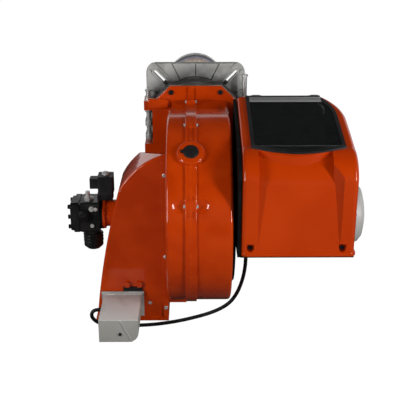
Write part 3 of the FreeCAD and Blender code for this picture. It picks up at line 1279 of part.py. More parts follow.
node("valve_stem", turned("valve_stem", [
    ("0", "0"), ("7", "0"), ("7", "coil_height + 0.3"), ("10", "coil_height + 0.3"), ("10", "coil_height + 6"),
    ("5", "coil_height + 9"), ("0", "coil_height + 9")], ("valve_across", "-fan_back", coil_low), "up"))

# Motor on the right: black plate, finned housing, shaft with its rotor, bearings, cooling fan and cowl
axis_place = ("0", "-fan_back", "-fan_down")
motor_left = "drum_right + motor_plate_thick"
node("motor_plate", turned("motor_plate", [
    ("bearing_radius + 2", "drum_right"), ("motor_plate_radius", "drum_right"),
    ("motor_plate_radius", "%s - 2" % motor_left), ("motor_plate_radius - 2", motor_left),
    ("bearing_radius + 2", motor_left)], axis_place, "right"))


def motor_shape():
    """Finned aluminium housing with its two end shields as one shell of revolution."""
    left = dim.drum_right + dim.motor_plate_thick
    centre = FreeCAD.Vector(0, -dim.fan_back, -dim.fan_down)
    shell = Part.makeCylinder(dim.motor_radius, dim.motor_right - left, centre + RIGHTWARDS * left, RIGHTWARDS)
    fins = []
    for index in range(36):
        fin = Part.makeBox(dim.motor_right - left - 2 * dim.shield_thick, 2.4, dim.motor_fin + 2)
        fin.translate(FreeCAD.Vector(left + dim.shield_thick, -1.2, dim.motor_radius - 2))
        fin.rotate(FreeCAD.Vector(), RIGHTWARDS, 10 * index)
        fin.translate(centre)
        fins.append(fin)
    room = Part.makeCylinder(dim.rotor_radius + 1, dim.motor_right - left - 2 * dim.shield_thick,
                             centre + RIGHTWARDS * (left + dim.shield_thick), RIGHTWARDS)
    way = Part.makeCylinder(dim.bearing_radius, dim.motor_right - left, centre + RIGHTWARDS * left, RIGHTWARDS)
    return shell.fuse(fins).cut(room.fuse(way))


node("motor_housing", solid("motor_housing", motor_shape()))
bearing_profile = [("shaft_radius + running_gap", "0"), ("bearing_radius", "0"),
                   ("bearing_radius", "bearing_width"), ("shaft_radius + running_gap", "bearing_width")]
node("motor_bearings", fuse("motor_bearings", turned("bearing_left", bearing_profile, (
    "(%s) + 2" % motor_left, "-fan_back", "-fan_down"), "right"), turned("bearing_right", bearing_profile, (
        "motor_right - bearing_width - 2", "-fan_back", "-fan_down"), "right")))
rotor_left = "(%s) + shield_thick + 12" % motor_left
node("motor_shaft", turned("motor_shaft", [
    ("0", "-fan_left - 10"), ("shaft_radius", "-fan_left - 10"), ("shaft_radius", rotor_left),
    ("rotor_radius", rotor_left), ("rotor_radius", "motor_right - shield_thick - 12"),
    ("shaft_radius", "motor_right - shield_thick - 12"), ("shaft_radius", "motor_right + 24"),
    ("0", "motor_right + 24")], axis_place, "right"))
node("pump_coupling", turned("pump_coupling", [
    ("0", "-spacer_left + 0.3"), ("13", "-spacer_left + 0.3"), ("13", "-spacer_left + 24"), ("8", "-spacer_left + 26"),
    ("8", "-fan_left - 36"), ("13", "-fan_left - 34"), ("13", "-fan_left - 10"), ("0", "-fan_left - 10")],
    axis_place, "right"))


def fan_shape():
    """Drum-type fan wheel: hub and disc on the motor side, a ring on the inlet side, blades between."""
    centre = FreeCAD.Vector(0, -dim.fan_back, -dim.fan_down)
    disc = Part.makeCylinder(dim.fan_radius, 3, centre + RIGHTWARDS * dim.fan_right, RIGHTWARDS)
    hub = Part.makeCylinder(26, 34, centre + RIGHTWARDS * (dim.fan_right - 31), RIGHTWARDS)
    ring = Part.makeCylinder(dim.fan_radius, 4, centre - RIGHTWARDS * dim.fan_left, RIGHTWARDS)
    ring = ring.cut(Part.makeCylinder(dim.fan_eye_radius, 4, centre - RIGHTWARDS * dim.fan_left, RIGHTWARDS))
    blades = []
    for index in range(int(dim.fan_blades)):
        blade = Part.makeBox(dim.fan_right + dim.fan_left, 1.5, dim.fan_radius - dim.fan_eye_radius - 2)
        blade.translate(FreeCAD.Vector(-dim.fan_left, -0.75, 0))
        blade.rotate(FreeCAD.Vector(), RIGHTWARDS, 24)
        blade.translate(FreeCAD.Vector(0, 0, dim.fan_eye_radius + 1))
        blade.rotate(FreeCAD.Vector(), RIGHTWARDS, 360 * index / dim.fan_blades)
        blade.translate(centre)
        blades.append(blade)
    bore = Part.makeCylinder(dim.shaft_radius, 50, centre + RIGHTWARDS * (dim.fan_right - 40), RIGHTWARDS)
    return disc.fuse([hub, ring] + blades).cut(bore)


node("fan_wheel", solid("fan_wheel", fan_shape()))
cool = "motor_right + 6"
node("cooling_fan", fuse("cooling_fan", turned("cooling_hub", [
    ("shaft_radius", cool), ("18", cool), ("18", "(%s) + 16" % cool), ("shaft_radius", "(%s) + 16" % cool)],
    axis_place, "right"), solid("cooling_blades", Part.makeCompound([
        Part.makeBox(14, 2, 50, FreeCAD.Vector(dim.motor_right + 7, -dim.fan_back - 1, -dim.fan_down + 16)).rotate(
            FreeCAD.Vector(0, -dim.fan_back, -dim.fan_down), RIGHTWARDS, 45 * index) for index in range(8)]))))
node("motor_cowl", turned("motor_cowl", [
    ("motor_radius", "motor_right - 14"), ("cowl_radius", "motor_right - 14"),
    ("cowl_radius", "cowl_right - 26"), ("cowl_radius - 5", "cowl_right - 13"), ("cowl_radius - 16", "cowl_right - 4"),
    ("cowl_radius - 30", "cowl_right"), ("20", "cowl_right"), ("20", "cowl_right - cowl_wall"),
    ("cowl_radius - 31", "cowl_right - cowl_wall"), ("cowl_radius - 18", "cowl_right - 6"),
    ("cowl_radius - 8", "cowl_right - 15"), ("cowl_radius - cowl_wall", "cowl_right - 27"),
    ("cowl_radius - cowl_wall", "motor_right"), ("motor_radius", "motor_right")], axis_place, "right"))

# Control panel on the right: a hood with a sloping top over the motor


def plan_outline(inset, front, rear):
    """Outline of the hood seen from above, moved inwards by an inset, between two places along Y."""
    left, right = dim.hood_left + inset, dim.hood_right - inset
    turn = -dim.hood_turn

    def spot(across, back):
        return FreeCAD.Vector(across, back, 0)
    edges = [Part.LineSegment(spot(left, front), spot(left, rear)).toShape(),
             Part.LineSegment(spot(left, rear), spot(right, rear)).toShape()]
    if rear < turn - 1:
        edges.append(Part.LineSegment(spot(right, rear), spot(right, turn)).toShape())
    if front < turn + 1:
        return edges[:2] + [Part.LineSegment(spot(right, rear), spot(right, front)).toShape(),
                            Part.LineSegment(spot(right, front), spot(left, front)).toShape()]
    edges.append(Part.Arc(spot(right, turn), spot(right - 5, turn + 45), spot(right - 37, -dim.hood_front)).toShape())
    if front > -dim.hood_front + 0.01:
        edges.append(Part.LineSegment(spot(right - 37, -dim.hood_front), spot(right - 37, front)).toShape())
    edges.append(Part.LineSegment(spot(right - 37, max(front, -dim.hood_front)), spot(left, front)).toShape())
    return edges


def upright_prism(edges, low, high):
    face = Part.Face(Part.Wire(edges))
    face.translate(FreeCAD.Vector(0, 0, low))
    return face.extrude(FreeCAD.Vector(0, 0, high - low))


def top_height(back):
    """Height of the hood's first slope at a distance behind the boiler face."""
    slope = (dim.hood_front_top - dim.hood_break_up) / (dim.hood_break - dim.hood_front)
    return dim.hood_front_top - slope * (back - dim.hood_front)


def hood_profile(drop, front, low, stepped):
    """Side outline of the hood with its top and rear moved inwards, extruded from side to side."""
    def spot(back, up):
        return FreeCAD.Vector(0, -back, up)
    start = spot(front, top_height(front) - drop)
    first = spot(dim.hood_break, dim.hood_break_up - drop)
    second = spot(dim.hood_second, dim.hood_second_up - drop)
    nose = spot(dim.hood_rear + 2 - drop, -45)
    bend = spot(dim.hood_rear - 23 - drop * 0.6, -4 - drop * 0.8)
    heel = spot(dim.hood_rear - drop, low)
    edges = [Part.LineSegment(start, first).toShape(), Part.LineSegment(first, second).toShape(),
             Part.Arc(second, bend, nose).toShape(), Part.LineSegment(nose, heel).toShape()]
    if stepped:
        corners = [heel, spot(dim.hood_step, low), spot(dim.hood_step, dim.hood_step_up),
                   spot(front, dim.hood_step_up), start]
    else:
        corners = [heel, spot(front, low), start]
    for first_corner, next_corner in zip(corners, corners[1:]):
        edges.append(Part.LineSegment(first_corner, next_corner).toShape())
    face = Part.Face(Part.Wire(edges))
    face.translate(FreeCAD.Vector(dim.hood_left - 40, 0, 0))
    return face.extrude(FreeCAD.Vector(dim.hood_right - dim.hood_left + 80, 0, 0))


def hood_form(inset, front, low, stepped):
    """The hood's rounded outer form, or the hollow inside it."""
    form = upright_prism(plan_outline(inset, front, -dim.hood_rear - 40), low, 3 * dim.hood_front_top)
    form = form.common(hood_profile(inset, -front, low, stepped))
    sides = []
    for edge in form.Edges:
        middle = edge.valueAt((edge.FirstParameter + edge.LastParameter) / 2)
        upright_rear = middle.y < -dim.hood_rear + 4 + inset and edge.BoundBox.ZLength > 20
        along_top = middle.z > -60 and edge.BoundBox.ZLength > 0.5 and edge.BoundBox.YLength > 1
        if edge.BoundBox.XLength < 0.01 and (upright_rear or along_top):
            sides.append(edge)
    return form.makeFillet(dim.hood_rounding - inset, sides)


def lid_region(inset, low, high):
    """The window lid's outline as a layer that follows the hood's top between two heights."""
    left = dim.hood_left + dim.lid_margin + inset
    right = dim.hood_right - dim.lid_margin - inset
    front = -dim.hood_front - 2 - inset
    rear = -dim.lid_rear + inset
    turn = -dim.hood_turn

    def spot(across, back):
        return FreeCAD.Vector(across, back, 0)
    middle = (left + right) / 2
    edges = [Part.LineSegment(spot(left, front), spot(left, rear)).toShape(),
             Part.Arc(spot(left, rear), spot(middle, rear - dim.lid_sag), spot(right, rear)).toShape(),
             Part.LineSegment(spot(right, rear), spot(right, turn)).toShape(),
             Part.Arc(spot(right, turn), spot(right - 5, turn + 45), spot(right - 37, front)).toShape(),
             Part.LineSegment(spot(right - 37, front), spot(left, front)).toShape()]
    column = upright_prism(edges, dim.hood_step_up, 2 * dim.hood_front_top)
    upper = hood_profile(0, dim.hood_front - 10, dim.hood_bottom, False)
    upper.translate(FreeCAD.Vector(0, 0, high))
    lower = hood_profile(0, dim.hood_front - 20, dim.hood_bottom - 60, False)
    lower.translate(FreeCAD.Vector(0, 0, low))
    return column.common(upper).cut(lower)


def recess(grow):
    """Sunk panel of the hood: it starts under the window, is deepest there and runs out at the bottom."""
    left, right = dim.recess_left - grow, dim.recess_right + grow
    front = -dim.lid_rear - dim.recess_below_lid + grow
    floor_right = right - dim.recess_slope
    outside = -dim.hood_rear - 33
    turn = -dim.hood_rear + dim.recess_deep + grow

    def spot(across, back):
        return FreeCAD.Vector(across, back, 0)
    edges = [Part.LineSegment(spot(left, front), spot(left, outside)).toShape(),
             Part.LineSegment(spot(left, outside), spot(right, outside)).toShape(),
             Part.LineSegment(spot(right, outside), spot(right, -dim.hood_rear - 1)).toShape(),
             Part.LineSegment(spot(right, -dim.hood_rear - 1), spot(floor_right, turn + 3)).toShape(),
             Part.LineSegment(spot(floor_right, turn + 3), spot(floor_right, front)).toShape(),
             Part.Arc(spot(floor_right, front), spot((left + floor_right) / 2, front - dim.lid_sag),
                      spot(left, front)).toShape()]
    column = upright_prism(edges, dim.recess_bottom, 2 * dim.hood_front_top)

    def side(back, up):
        return FreeCAD.Vector(0, back, up)
    high = dim.hood_second_up - dim.recess_deep - grow
    start, second = side(-dim.lid_rear + 40, high + 8), side(-dim.lid_rear, high)
    nose = side(turn, -62)
    outline = [Part.LineSegment(start, second).toShape(),
               Part.Arc(second, side(turn + 17, -26), nose).toShape(),
               Part.LineSegment(nose, side(-dim.hood_rear + grow, dim.recess_bottom - 1)).toShape(),
               Part.LineSegment(side(-dim.hood_rear + grow, dim.recess_bottom - 1),
                                side(-dim.lid_rear + 40, dim.recess_bottom - 1)).toShape(),
               Part.LineSegment(side(-dim.lid_rear + 40, dim.recess_bottom - 1), start).toShape()]
    face = Part.Face(Part.Wire(outline))
    face.translate(FreeCAD.Vector(left - 1, 0, 0))
    return column.cut(face.extrude(FreeCAD.Vector(right - left + 2, 0, 0)))


def pocket_places():
    return [dim.recess_left - 17, dim.recess_right + 5]


def hood_shape():
    wall = dim.hood_wall
    blank = hood_form(0, -dim.hood_front, dim.hood_bottom, True)
    hollow = hood_form(wall, 0, 2 * dim.hood_bottom, False).cut(recess(wall))
    rim = upright_prism(plan_outline(-dim.rim_proud, -dim.hood_step, -dim.hood_rear - dim.rim_proud),
                        dim.hood_bottom, dim.hood_bottom + dim.rim_height)
    rim = rim.cut(span(FreeCAD.Vector(0, -700, -400), FreeCAD.Vector(dim.hood_left, 0, 0)))
    rim = rim.makeFillet(dim.hood_rounding + dim.rim_proud, [
        edge for edge in rim.Edges if runs_along(edge, (0, 0, 1)) and edge.CenterOfMass.y < -dim.hood_rear])
    rim_face = [edge for edge in rim.Edges if edge.BoundBox.ZLength < 0.01
                and abs(edge.CenterOfMass.y + dim.hood_step) > 1]
    rim = rim.makeFillet(3, rim_face)
    pads, wells = [], []
    for across in pocket_places():
        reach = dim.pocket_radius
        pads.append(span(FreeCAD.Vector(across - reach - 4, -dim.hood_rear + 1, dim.pocket_up - reach - 4),
                         FreeCAD.Vector(across + reach + 4, -dim.hood_rear + 20,
                                        dim.pocket_up + dim.pocket_length + 4)))
        wells.append(Part.makeCylinder(reach, 30, FreeCAD.Vector(across, -dim.hood_rear - 18, dim.pocket_up), AHEAD))
        wells.append(side_prism(across - reach, across + reach, [
            (-dim.hood_rear - 18, dim.pocket_up), (-dim.hood_rear + 12, dim.pocket_up),
            (-dim.hood_rear - 4, dim.pocket_up + dim.pocket_length),
            (-dim.hood_rear - 18, dim.pocket_up + dim.pocket_length)]))
        wells.append(Part.makeCylinder(2.5, 40, FreeCAD.Vector(across, -dim.hood_rear - 1, dim.pocket_up), AHEAD))
    window = lid_region(dim.lid_frame_width + 6, -30, 30)
    shell = blank.fuse(rim).cut(hollow.fuse(recess(0)))
    return shell.fuse(pads).cut(wells + [window])


node("panel_hood", solid("panel_hood", hood_shape()))
node("panel_screws", solid("panel_screws", round_head_screws(
    [FreeCAD.Vector(across, -dim.hood_rear + 12, dim.pocket_up) for across in pocket_places()],
    2.5, 6, 4, 8, AHEAD)))

# Smoked window lid in its black frame, on two hinges at its front edge
lid_frame = lid_region(0, dim.seat_gap, dim.lid_thick).cut(lid_region(dim.lid_frame_width, -30, 30))
lid_arms = []
hinge_places = (dim.hinge_left_across, dim.hinge_right_across)
axis_spot = FreeCAD.Vector(0, -dim.lid_axis_back, dim.lid_axis_up)
for across in hinge_places:
    barrel = Part.makeCylinder(dim.lid_barrel_radius, dim.hinge_length, axis_spot + RIGHTWARDS * across, RIGHTWARDS)
    arm = span(FreeCAD.Vector(across, -dim.hood_front - 8, dim.hood_front_top + dim.seat_gap),
               FreeCAD.Vector(across + dim.hinge_length, -dim.lid_axis_back, dim.hood_front_top + dim.lid_thick - 0.5))
    way = Part.makeCylinder(dim.lid_pin_radius + dim.running_gap, dim.hinge_length, axis_spot + RIGHTWARDS * across,
                            RIGHTWARDS)
    lid_arms.append(barrel.fuse(arm).cut(way))
node("window_frame", solid("window_frame", lid_frame.fuse(lid_arms)))
node("window_lid", solid("window_lid", lid_region(dim.lid_frame_width, dim.seat_gap, dim.glass_plate)))


def lid_brackets():
    """Two brackets on the hood's front edge, each with two ears and a pin."""
    brackets = []
    for across in hinge_places:
        low, high = across - 5, across + dim.hinge_length + 5
        front = -dim.hood_front
        foot = span(FreeCAD.Vector(low, front, dim.hood_front_top - 18),
                    FreeCAD.Vector(high, front + 3.5, dim.lid_axis_up - dim.lid_barrel_radius - 1))
        ears = [span(FreeCAD.Vector(start, front, dim.lid_axis_up - dim.lid_barrel_radius - 4),
                     FreeCAD.Vector(start + 4.7, front + 12, dim.lid_axis_up + 4))
                for start in (low, high - 4.7)]
        pin = Part.makeCylinder(dim.lid_pin_radius, high - low, axis_spot + RIGHTWARDS * low, RIGHTWARDS)
        brackets.append(foot.fuse(ears + [pin]).removeSplitter())
    return Part.makeCompound(brackets)


node("lid_hinges", solid("lid_hinges", lid_brackets()))

# Black chassis inside the hood: side plate, shelf over the motor, back, floor and the sloping deck


def chassis_shape():
    thick = dim.chassis_thick
    inside = dim.hood_wall + dim.chassis_gap
    below = dim.hood_bottom - dim.seat_gap
    under_step = dim.hood_step_up - dim.seat_gap
    before_step = -dim.hood_step + dim.seat_gap
    side = hood_profile(inside, dim.hood_front + 4, below - thick, False)
    motor_room = span(FreeCAD.Vector(0, before_step + thick, 2 * dim.hood_bottom),
                      FreeCAD.Vector(500, 0, under_step - thick))
    side = side.cut(motor_room).common(span(
        FreeCAD.Vector(dim.drum_right + dim.motor_plate_thick, -700, 2 * dim.hood_bottom),
        FreeCAD.Vector(dim.hood_left - dim.chassis_gap, 0, 2 * dim.hood_front_top)))
    room = hood_form(inside, -dim.hood_front - 4, dim.hood_bottom - 1, False)
    deck = hood_profile(dim.deck_drop, dim.hood_front + 4, -dim.hood_front_top, False).cut(
        hood_profile(dim.deck_drop + thick, dim.hood_front - 20, -2 * dim.hood_front_top, False))
    deck = deck.common(span(FreeCAD.Vector(0, -dim.hood_second - 10, -200), FreeCAD.Vector(500, 0, 200)))
    inner = deck.common(room)
    left = dim.hood_left - dim.chassis_gap - 1
    outline = plan_outline(1, -dim.hood_front - 4, -dim.hood_rear + 1)
    footprint = upright_prism(outline, 2 * dim.hood_bottom, dim.hood_front_top)
    footprint = footprint.fuse(span(FreeCAD.Vector(left, -dim.hood_rear + 2, 2 * dim.hood_bottom),
                                    FreeCAD.Vector(dim.hood_left + 2, -dim.hood_front - 4, dim.hood_front_top)))
    shelf = span(FreeCAD.Vector(0, before_step, under_step - thick), FreeCAD.Vector(500, 0, under_step))
    back = span(FreeCAD.Vector(0, before_step, below - thick), FreeCAD.Vector(500, before_step + thick, under_step))
    floor = span(FreeCAD.Vector(0, -700, below - thick), FreeCAD.Vector(500, before_step + thick, below))
    outer = shelf.fuse([back, floor]).common(footprint)
    posts = []
    for across in (dim.hood_left + 20, dim.hood_right - 50):
        for back_place in (dim.hood_front + 14, dim.hood_step - 10):
            posts.append(span(FreeCAD.Vector(across, -back_place, under_step - thick),
                              FreeCAD.Vector(across + 8, -back_place + 8,
                                             top_height(back_place) - dim.deck_drop - 1)))
    pads = [Part.makeCylinder(dim.stem_radius + 9, 16, FreeCAD.Vector(across, -dim.control_back, dim.control_up - 16))
            for across in (dim.button_across - dim.knob_apart, dim.button_across)]
    bores = [Part.makeCylinder(dim.stem_radius + dim.running_gap, 14,
                               FreeCAD.Vector(across, -dim.control_back, dim.control_up - 14))
             for across in (dim.button_across - dim.knob_apart, dim.button_across)]
    bores.append(Part.makeCylinder(dim.gland_thread, 20, FreeCAD.Vector(dim.gland_across, -dim.gland_back,
                                                                        dim.hood_bottom - 10)))
    return side.fuse([inner, outer] + posts + pads).cut(bores).removeSplitter()


node("panel_chassis", solid("panel_chassis", chassis_shape()))


def on_deck(left, right, front, rear, height):
    """A housing that stands on the sloping deck."""
    points = []
    for back, rise in ((rear, 0), (front, 0), (front, height), (rear, height)):
        points.append((-back, top_height(back) - dim.deck_drop + rise))
    block = side_prism(left, right, points)
    return block.makeFillet(3, [edge for edge in block.Edges if edge.BoundBox.XLength < 0.01
                                and edge.BoundBox.YLength < 1])


node("controller", solid("controller", on_deck(165, 220, 215, 310, 28)))
node("ignition_transformer", solid("ignition_transformer", on_deck(140, 250, 322, 342, 26)))
node("selector_knob", turned("selector_knob", [
    ("0", "-12"), ("stem_radius", "-12"), ("stem_radius", "seat_gap"), ("knob_radius", "seat_gap"),
    ("knob_radius", "3"), ("knob_radius - 3", "5"), ("knob_radius - 3", "knob_height - 1"),
    ("knob_radius - 4", "knob_height"), ("0", "knob_height")], ("button_across - knob_apart", "-control_back", "control_up"), "up"))
node("reset_button", turned("reset_button", [
    ("0", "-9"), ("stem_radius", "-9"), ("stem_radius", "button_travel + seat_gap"),
    ("button_radius", "button_travel + seat_gap"), ("button_radius", "button_travel + 6"),
    ("button_radius - 2", "button_travel + 8"), ("0", "button_travel + 8")],
    ("button_across", "-control_back", "control_up"), "up"))

# Cable from the panel to the servo, with a gland at each end
floor_under = dim.hood_bottom - dim.seat_gap - dim.chassis_thick
panel_gland_foot = FreeCAD.Vector(dim.gland_across, -dim.gland_back, floor_under)
servo_gland_foot = FreeCAD.Vector(dim.servo_left, -dim.servo_gland_back, dim.servo_gland_up)


def gland(foot, direction, flats, nut, length, thread):
    """Hexagon nut and rounded collar, with a stub that goes into the wall behind it."""
    shape = hex_prism(flats, nut, foot, direction)
    collar = Part.makeCone(flats * 0.42, flats * 0.28, length - nut, foot + direction * nut, direction)
    shape = shape.fuse(collar)
    if thread:
        shape = shape.fuse(Part.makeCylinder(thread, 6, foot - direction * 6, direction))
    return shape.removeSplitter()


node("cable_glands", solid("cable_glands", Part.makeCompound([
    gland(panel_gland_foot, DOWNWARDS, dim.gland_flats, dim.gland_nut, dim.gland_length, dim.gland_thread),
    gland(servo_gland_foot, LEFTWARDS, 14, 4, 8, 0)])))

cable_route = [panel_gland_foot + DOWNWARDS * dim.gland_length,
               FreeCAD.Vector(129, -365, -296),
               FreeCAD.Vector(128.5, -362, -326),
               FreeCAD.Vector(125, -357, -357),
               FreeCAD.Vector(118, -352, -388),
               FreeCAD.Vector(107, -349, -418),
               FreeCAD.Vector(89.5, -348, -444),
               FreeCAD.Vector(64, -348, -462),
               FreeCAD.Vector(34, -348, -475.5),
               FreeCAD.Vector(0, -348, -486),
               FreeCAD.Vector(-36, -348, -495.5),
               FreeCAD.Vector(-74, -348, -503),
               FreeCAD.Vector(-113, -348, -508.5),
               FreeCAD.Vector(-152, -348, -511),
               FreeCAD.Vector(-190, -348.5, -511.5),
               FreeCAD.Vector(-224, -349.5, -511),
               FreeCAD.Vector(-252, -351, -506.5),
               FreeCAD.Vector(-272, -352.5, -496),
               FreeCAD.Vector(-283, -353, -481),
               FreeCAD.Vector(-280, -353, -466),
               FreeCAD.Vector(-268, -353, -460),
               servo_gland_foot + LEFTWARDS * 8]


def cable_tube(route, radius):
    """Straight runs joined by tangent arcs, each as large as its two runs allow."""
    edges = []
    start = route[0]
    length = 0.0
    for before, corner, after in zip(route, route[1:], route[2:]):
        back, ahead = before - corner, after - corner
        shorter = min(back.Length, ahead.Length)
        back.normalize()
        ahead.normalize()
        half_turn = (math.pi - back.getAngle(ahead)) / 2
        trim = 0.45 * shorter
        bend = trim / math.tan(half_turn)
        print("cable bend radius %.0f" % bend)
        first, last = corner + back * trim, corner + ahead * trim
        inward = (back + ahead).normalize()
        middle = corner + inward * (bend / math.cos(half_turn) - bend)
        edges.append(Part.LineSegment(start, first).toShape())
        edges.append(Part.Arc(first, middle, last).toShape())
        length += edges[-2].Length + edges[-1].Length
        start = last
    edges.append(Part.LineSegment(start, route[-1]).toShape())
    length += edges[-1].Length
    path = Part.Wire(edges)
    section = Part.Wire(Part.makeCircle(radius, route[0], route[1] - route[0]))
    tube = path.makePipeShell([section], True, True)
    print("cable length %.1f, volume %.0f against %.0f" % (length, tube.Volume, math.pi * radius ** 2 * length))
    return tube


node("servo_cable", solid("servo_cable", cable_tube(cable_route, dim.cable_radius)))


# Every object has to be whole before any file is written
doc.recompute()
for thing in doc.Objects:
    if "Invalid" in thing.State or "Error" in thing.State:
        raise RuntimeError("%s did not build: %s" % (thing.Name, thing.State))
for thing in nodes:
    if thing.Shape.isNull() or not thing.Shape.isValid() or not thing.Shape.Solids:
        raise RuntimeError("%s is not a valid solid" % thing.Label)

os.makedirs("parts", exist_ok=True)
for thing in nodes:
    thing.Shape.exportStep("parts/%s.step" % thing.Label)
    print("%-22s solids %d volume %.0f" % (thing.Label, len(thing.Shape.Solids), thing.Shape.Volume))
print("nodes", len(nodes))
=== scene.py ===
import math
import bpy
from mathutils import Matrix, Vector


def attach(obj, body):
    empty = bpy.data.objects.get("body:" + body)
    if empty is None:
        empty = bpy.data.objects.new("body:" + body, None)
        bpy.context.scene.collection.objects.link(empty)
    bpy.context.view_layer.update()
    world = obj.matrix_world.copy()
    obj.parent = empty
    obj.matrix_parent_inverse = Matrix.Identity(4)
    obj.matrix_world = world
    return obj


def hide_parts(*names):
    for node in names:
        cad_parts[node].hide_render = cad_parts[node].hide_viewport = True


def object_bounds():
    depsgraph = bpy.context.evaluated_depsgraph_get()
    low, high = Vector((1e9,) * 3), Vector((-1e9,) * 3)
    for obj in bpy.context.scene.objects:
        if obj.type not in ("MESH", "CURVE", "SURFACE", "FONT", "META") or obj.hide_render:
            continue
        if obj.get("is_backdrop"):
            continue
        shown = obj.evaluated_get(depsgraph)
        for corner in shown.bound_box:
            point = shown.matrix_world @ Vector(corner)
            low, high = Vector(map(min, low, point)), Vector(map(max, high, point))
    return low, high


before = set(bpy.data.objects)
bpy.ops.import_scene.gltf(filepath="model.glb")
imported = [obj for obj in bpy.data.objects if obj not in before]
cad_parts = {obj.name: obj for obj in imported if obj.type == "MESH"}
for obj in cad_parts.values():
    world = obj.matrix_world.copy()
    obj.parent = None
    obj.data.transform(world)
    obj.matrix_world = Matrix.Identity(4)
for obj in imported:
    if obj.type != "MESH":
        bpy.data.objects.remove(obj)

cad_low, cad_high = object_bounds()

# Camera: behind the burner and above it, as the photograph was taken, looking along the blast tube.
# A long lens keeps the sides of the casing nearly parallel.
camera_place = (-0.0058, -2.2645, 0.568)
camera_pitch = 20.5
camera_turn = 0.466
camera_lens = 72
sensor_width = 36
bpy.ops.object.camera_add(location=camera_place,
                          rotation=(math.radians(90 - camera_pitch), 0, math.radians(-camera_turn)))
camera = bpy.context.object
camera.name = "camera"
camera.data.lens = camera_lens
camera.data.sensor_width = sensor_width
bpy.context.scene.camera = camera

# Studio: a floor just below the burner and a sweep behind it, which the camera sees as pure white.
# In reflections the sweep glows from behind, fades out above and is dark on the camera's side, and four
# soft rectangular lamps light the burner.
floor_drop = 0.02
floor_half = 40
floor_grey = (0.10, 0.10, 0.10, 1)
sweep_white = (1, 1, 1, 1)
sweep_light = 0.11
sweep_gloss = 0.85
sweep_start, sweep_full = -0.1, 0.35
sweep_bright_to, sweep_dark_from, sweep_rest = 0.40, 0.52, 0.02


def maths(tree, operation, first, second):
    """A maths node on two numbers, each a value or a socket."""
    node = tree.nodes.new("ShaderNodeMath")
    node.operation = operation
    for slot, value in zip(node.inputs, (first, second)):
        if isinstance(value, bpy.types.NodeSocket):
            tree.links.new(value, slot)
        else:
            slot.default_value = value
    return node.outputs[0]


def ramp(tree, source, low, high, low_value, high_value):
    """Maps a stretch of one value smoothly onto another stretch."""
    spread = tree.nodes.new("ShaderNodeMapRange")
    spread.interpolation_type = "SMOOTHSTEP"
    for socket, value in zip(("From Min", "From Max", "To Min", "To Max"),
                             (low, high, low_value, high_value)):
        spread.inputs[socket].default_value = value
    tree.links.new(source, spread.inputs["Value"])
    return spread.outputs["Result"]


def blend_values(tree, mask, first, second):
    """A number between two, each a value or a socket, by a mask."""
    node = tree.nodes.new("ShaderNodeMix")
    for socket, value in zip(("A", "B"), (first, second)):
        if isinstance(value, bpy.types.NodeSocket):
            tree.links.new(value, node.inputs[socket])
        else:
            node.inputs[socket].default_value = value
    tree.links.new(mask, node.inputs["Factor"])
    return node.outputs["Result"]


def background_rays(tree):
    """1 for the rays that show the background itself, from the camera or through glass."""
    path = tree.nodes.new("ShaderNodeLightPath")
    return maths(tree, "MAXIMUM", path.outputs["Is Camera Ray"], path.outputs["Is Transmission Ray"])


world = bpy.data.worlds.new("studio")
bpy.context.scene.world = world
world.use_nodes = True
tree = world.node_tree
heading = tree.nodes.new("ShaderNodeSeparateXYZ")
tree.links.new(tree.nodes.new("ShaderNodeTexCoord").outputs["Generated"], heading.inputs[0])
behind = ramp(tree, heading.outputs["Y"], sweep_start, sweep_full, 0, sweep_gloss)
fades_upwards = ramp(tree, heading.outputs["Z"], sweep_bright_to, sweep_dark_from, 1, sweep_rest)
sweep = maths(tree, "MULTIPLY", behind, fades_upwards)
glossy_rays = tree.nodes.new("ShaderNodeLightPath").outputs["Is Glossy Ray"]
unseen = blend_values(tree, glossy_rays, sweep_light, sweep)
tree.links.new(blend_values(tree, background_rays(tree), unseen, 1.0),
               tree.nodes["Background"].inputs["Strength"])
tree.nodes["Background"].inputs["Color"].default_value = sweep_white

bpy.ops.mesh.primitive_plane_add(size=2 * floor_half, location=(0, 0, cad_low.z - floor_drop))
floor = bpy.context.object
floor.name = "floor"
floor_paint = bpy.data.materials.new("floor_paint")
floor_paint.use_nodes = True
tree = floor_paint.node_tree
shader = tree.nodes["Principled BSDF"]
shader.inputs["Base Color"].default_value = floor_grey
shader.inputs["Roughness"].default_value = 0.95
shader.inputs["Specular IOR Level"].default_value = 0.0
glow = tree.nodes.new("ShaderNodeEmission")
tree.links.new(background_rays(tree), glow.inputs["Strength"])
both = tree.nodes.new("ShaderNodeAddShader")
tree.links.new(shader.outputs[0], both.inputs[0])
tree.links.new(glow.outputs[0], both.inputs[1])
tree.links.new(both.outputs[0], tree.nodes["Material Output"].inputs["Surface"])
floor.data.materials.append(floor_paint)
floor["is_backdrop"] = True


def lamp(name, place, aim, size, power, mirrored=True):
    """A soft rectangular lamp at a place, turned towards a point; one that isn't mirrored only fills."""
    bpy.ops.object.light_add(type="AREA", location=place)
    light = bpy.context.object
    light.name = name
    light.data.shape = "RECTANGLE"
    light.data.size, light.data.size_y = size
    light.data.energy = power
    light.visible_glossy = mirrored
    light.rotation_euler = (Vector(aim) - Vector(place)).to_track_quat("-Z", "Y").to_euler()


lamp("front_lamp", place=(0.5, -3.2, 0.5), aim=(0.1, 0, -0.2), size=(1.6, 1.2), power=11, mirrored=False)
lamp("left_lamp", place=(-1.75, -1.75, 0.45), aim=(0, -0.25, -0.2), size=(0.30, 1.35), power=28)
lamp("right_lamp", place=(1.95, -1.75, 0.45), aim=(0.2, -0.25, -0.1), size=(0.30, 1.35), power=40)
lamp("top_lamp", place=(0, 0.7, 2.0), aim=(0, -0.1, 0), size=(1.2, 0.8), power=3.4, mirrored=False)

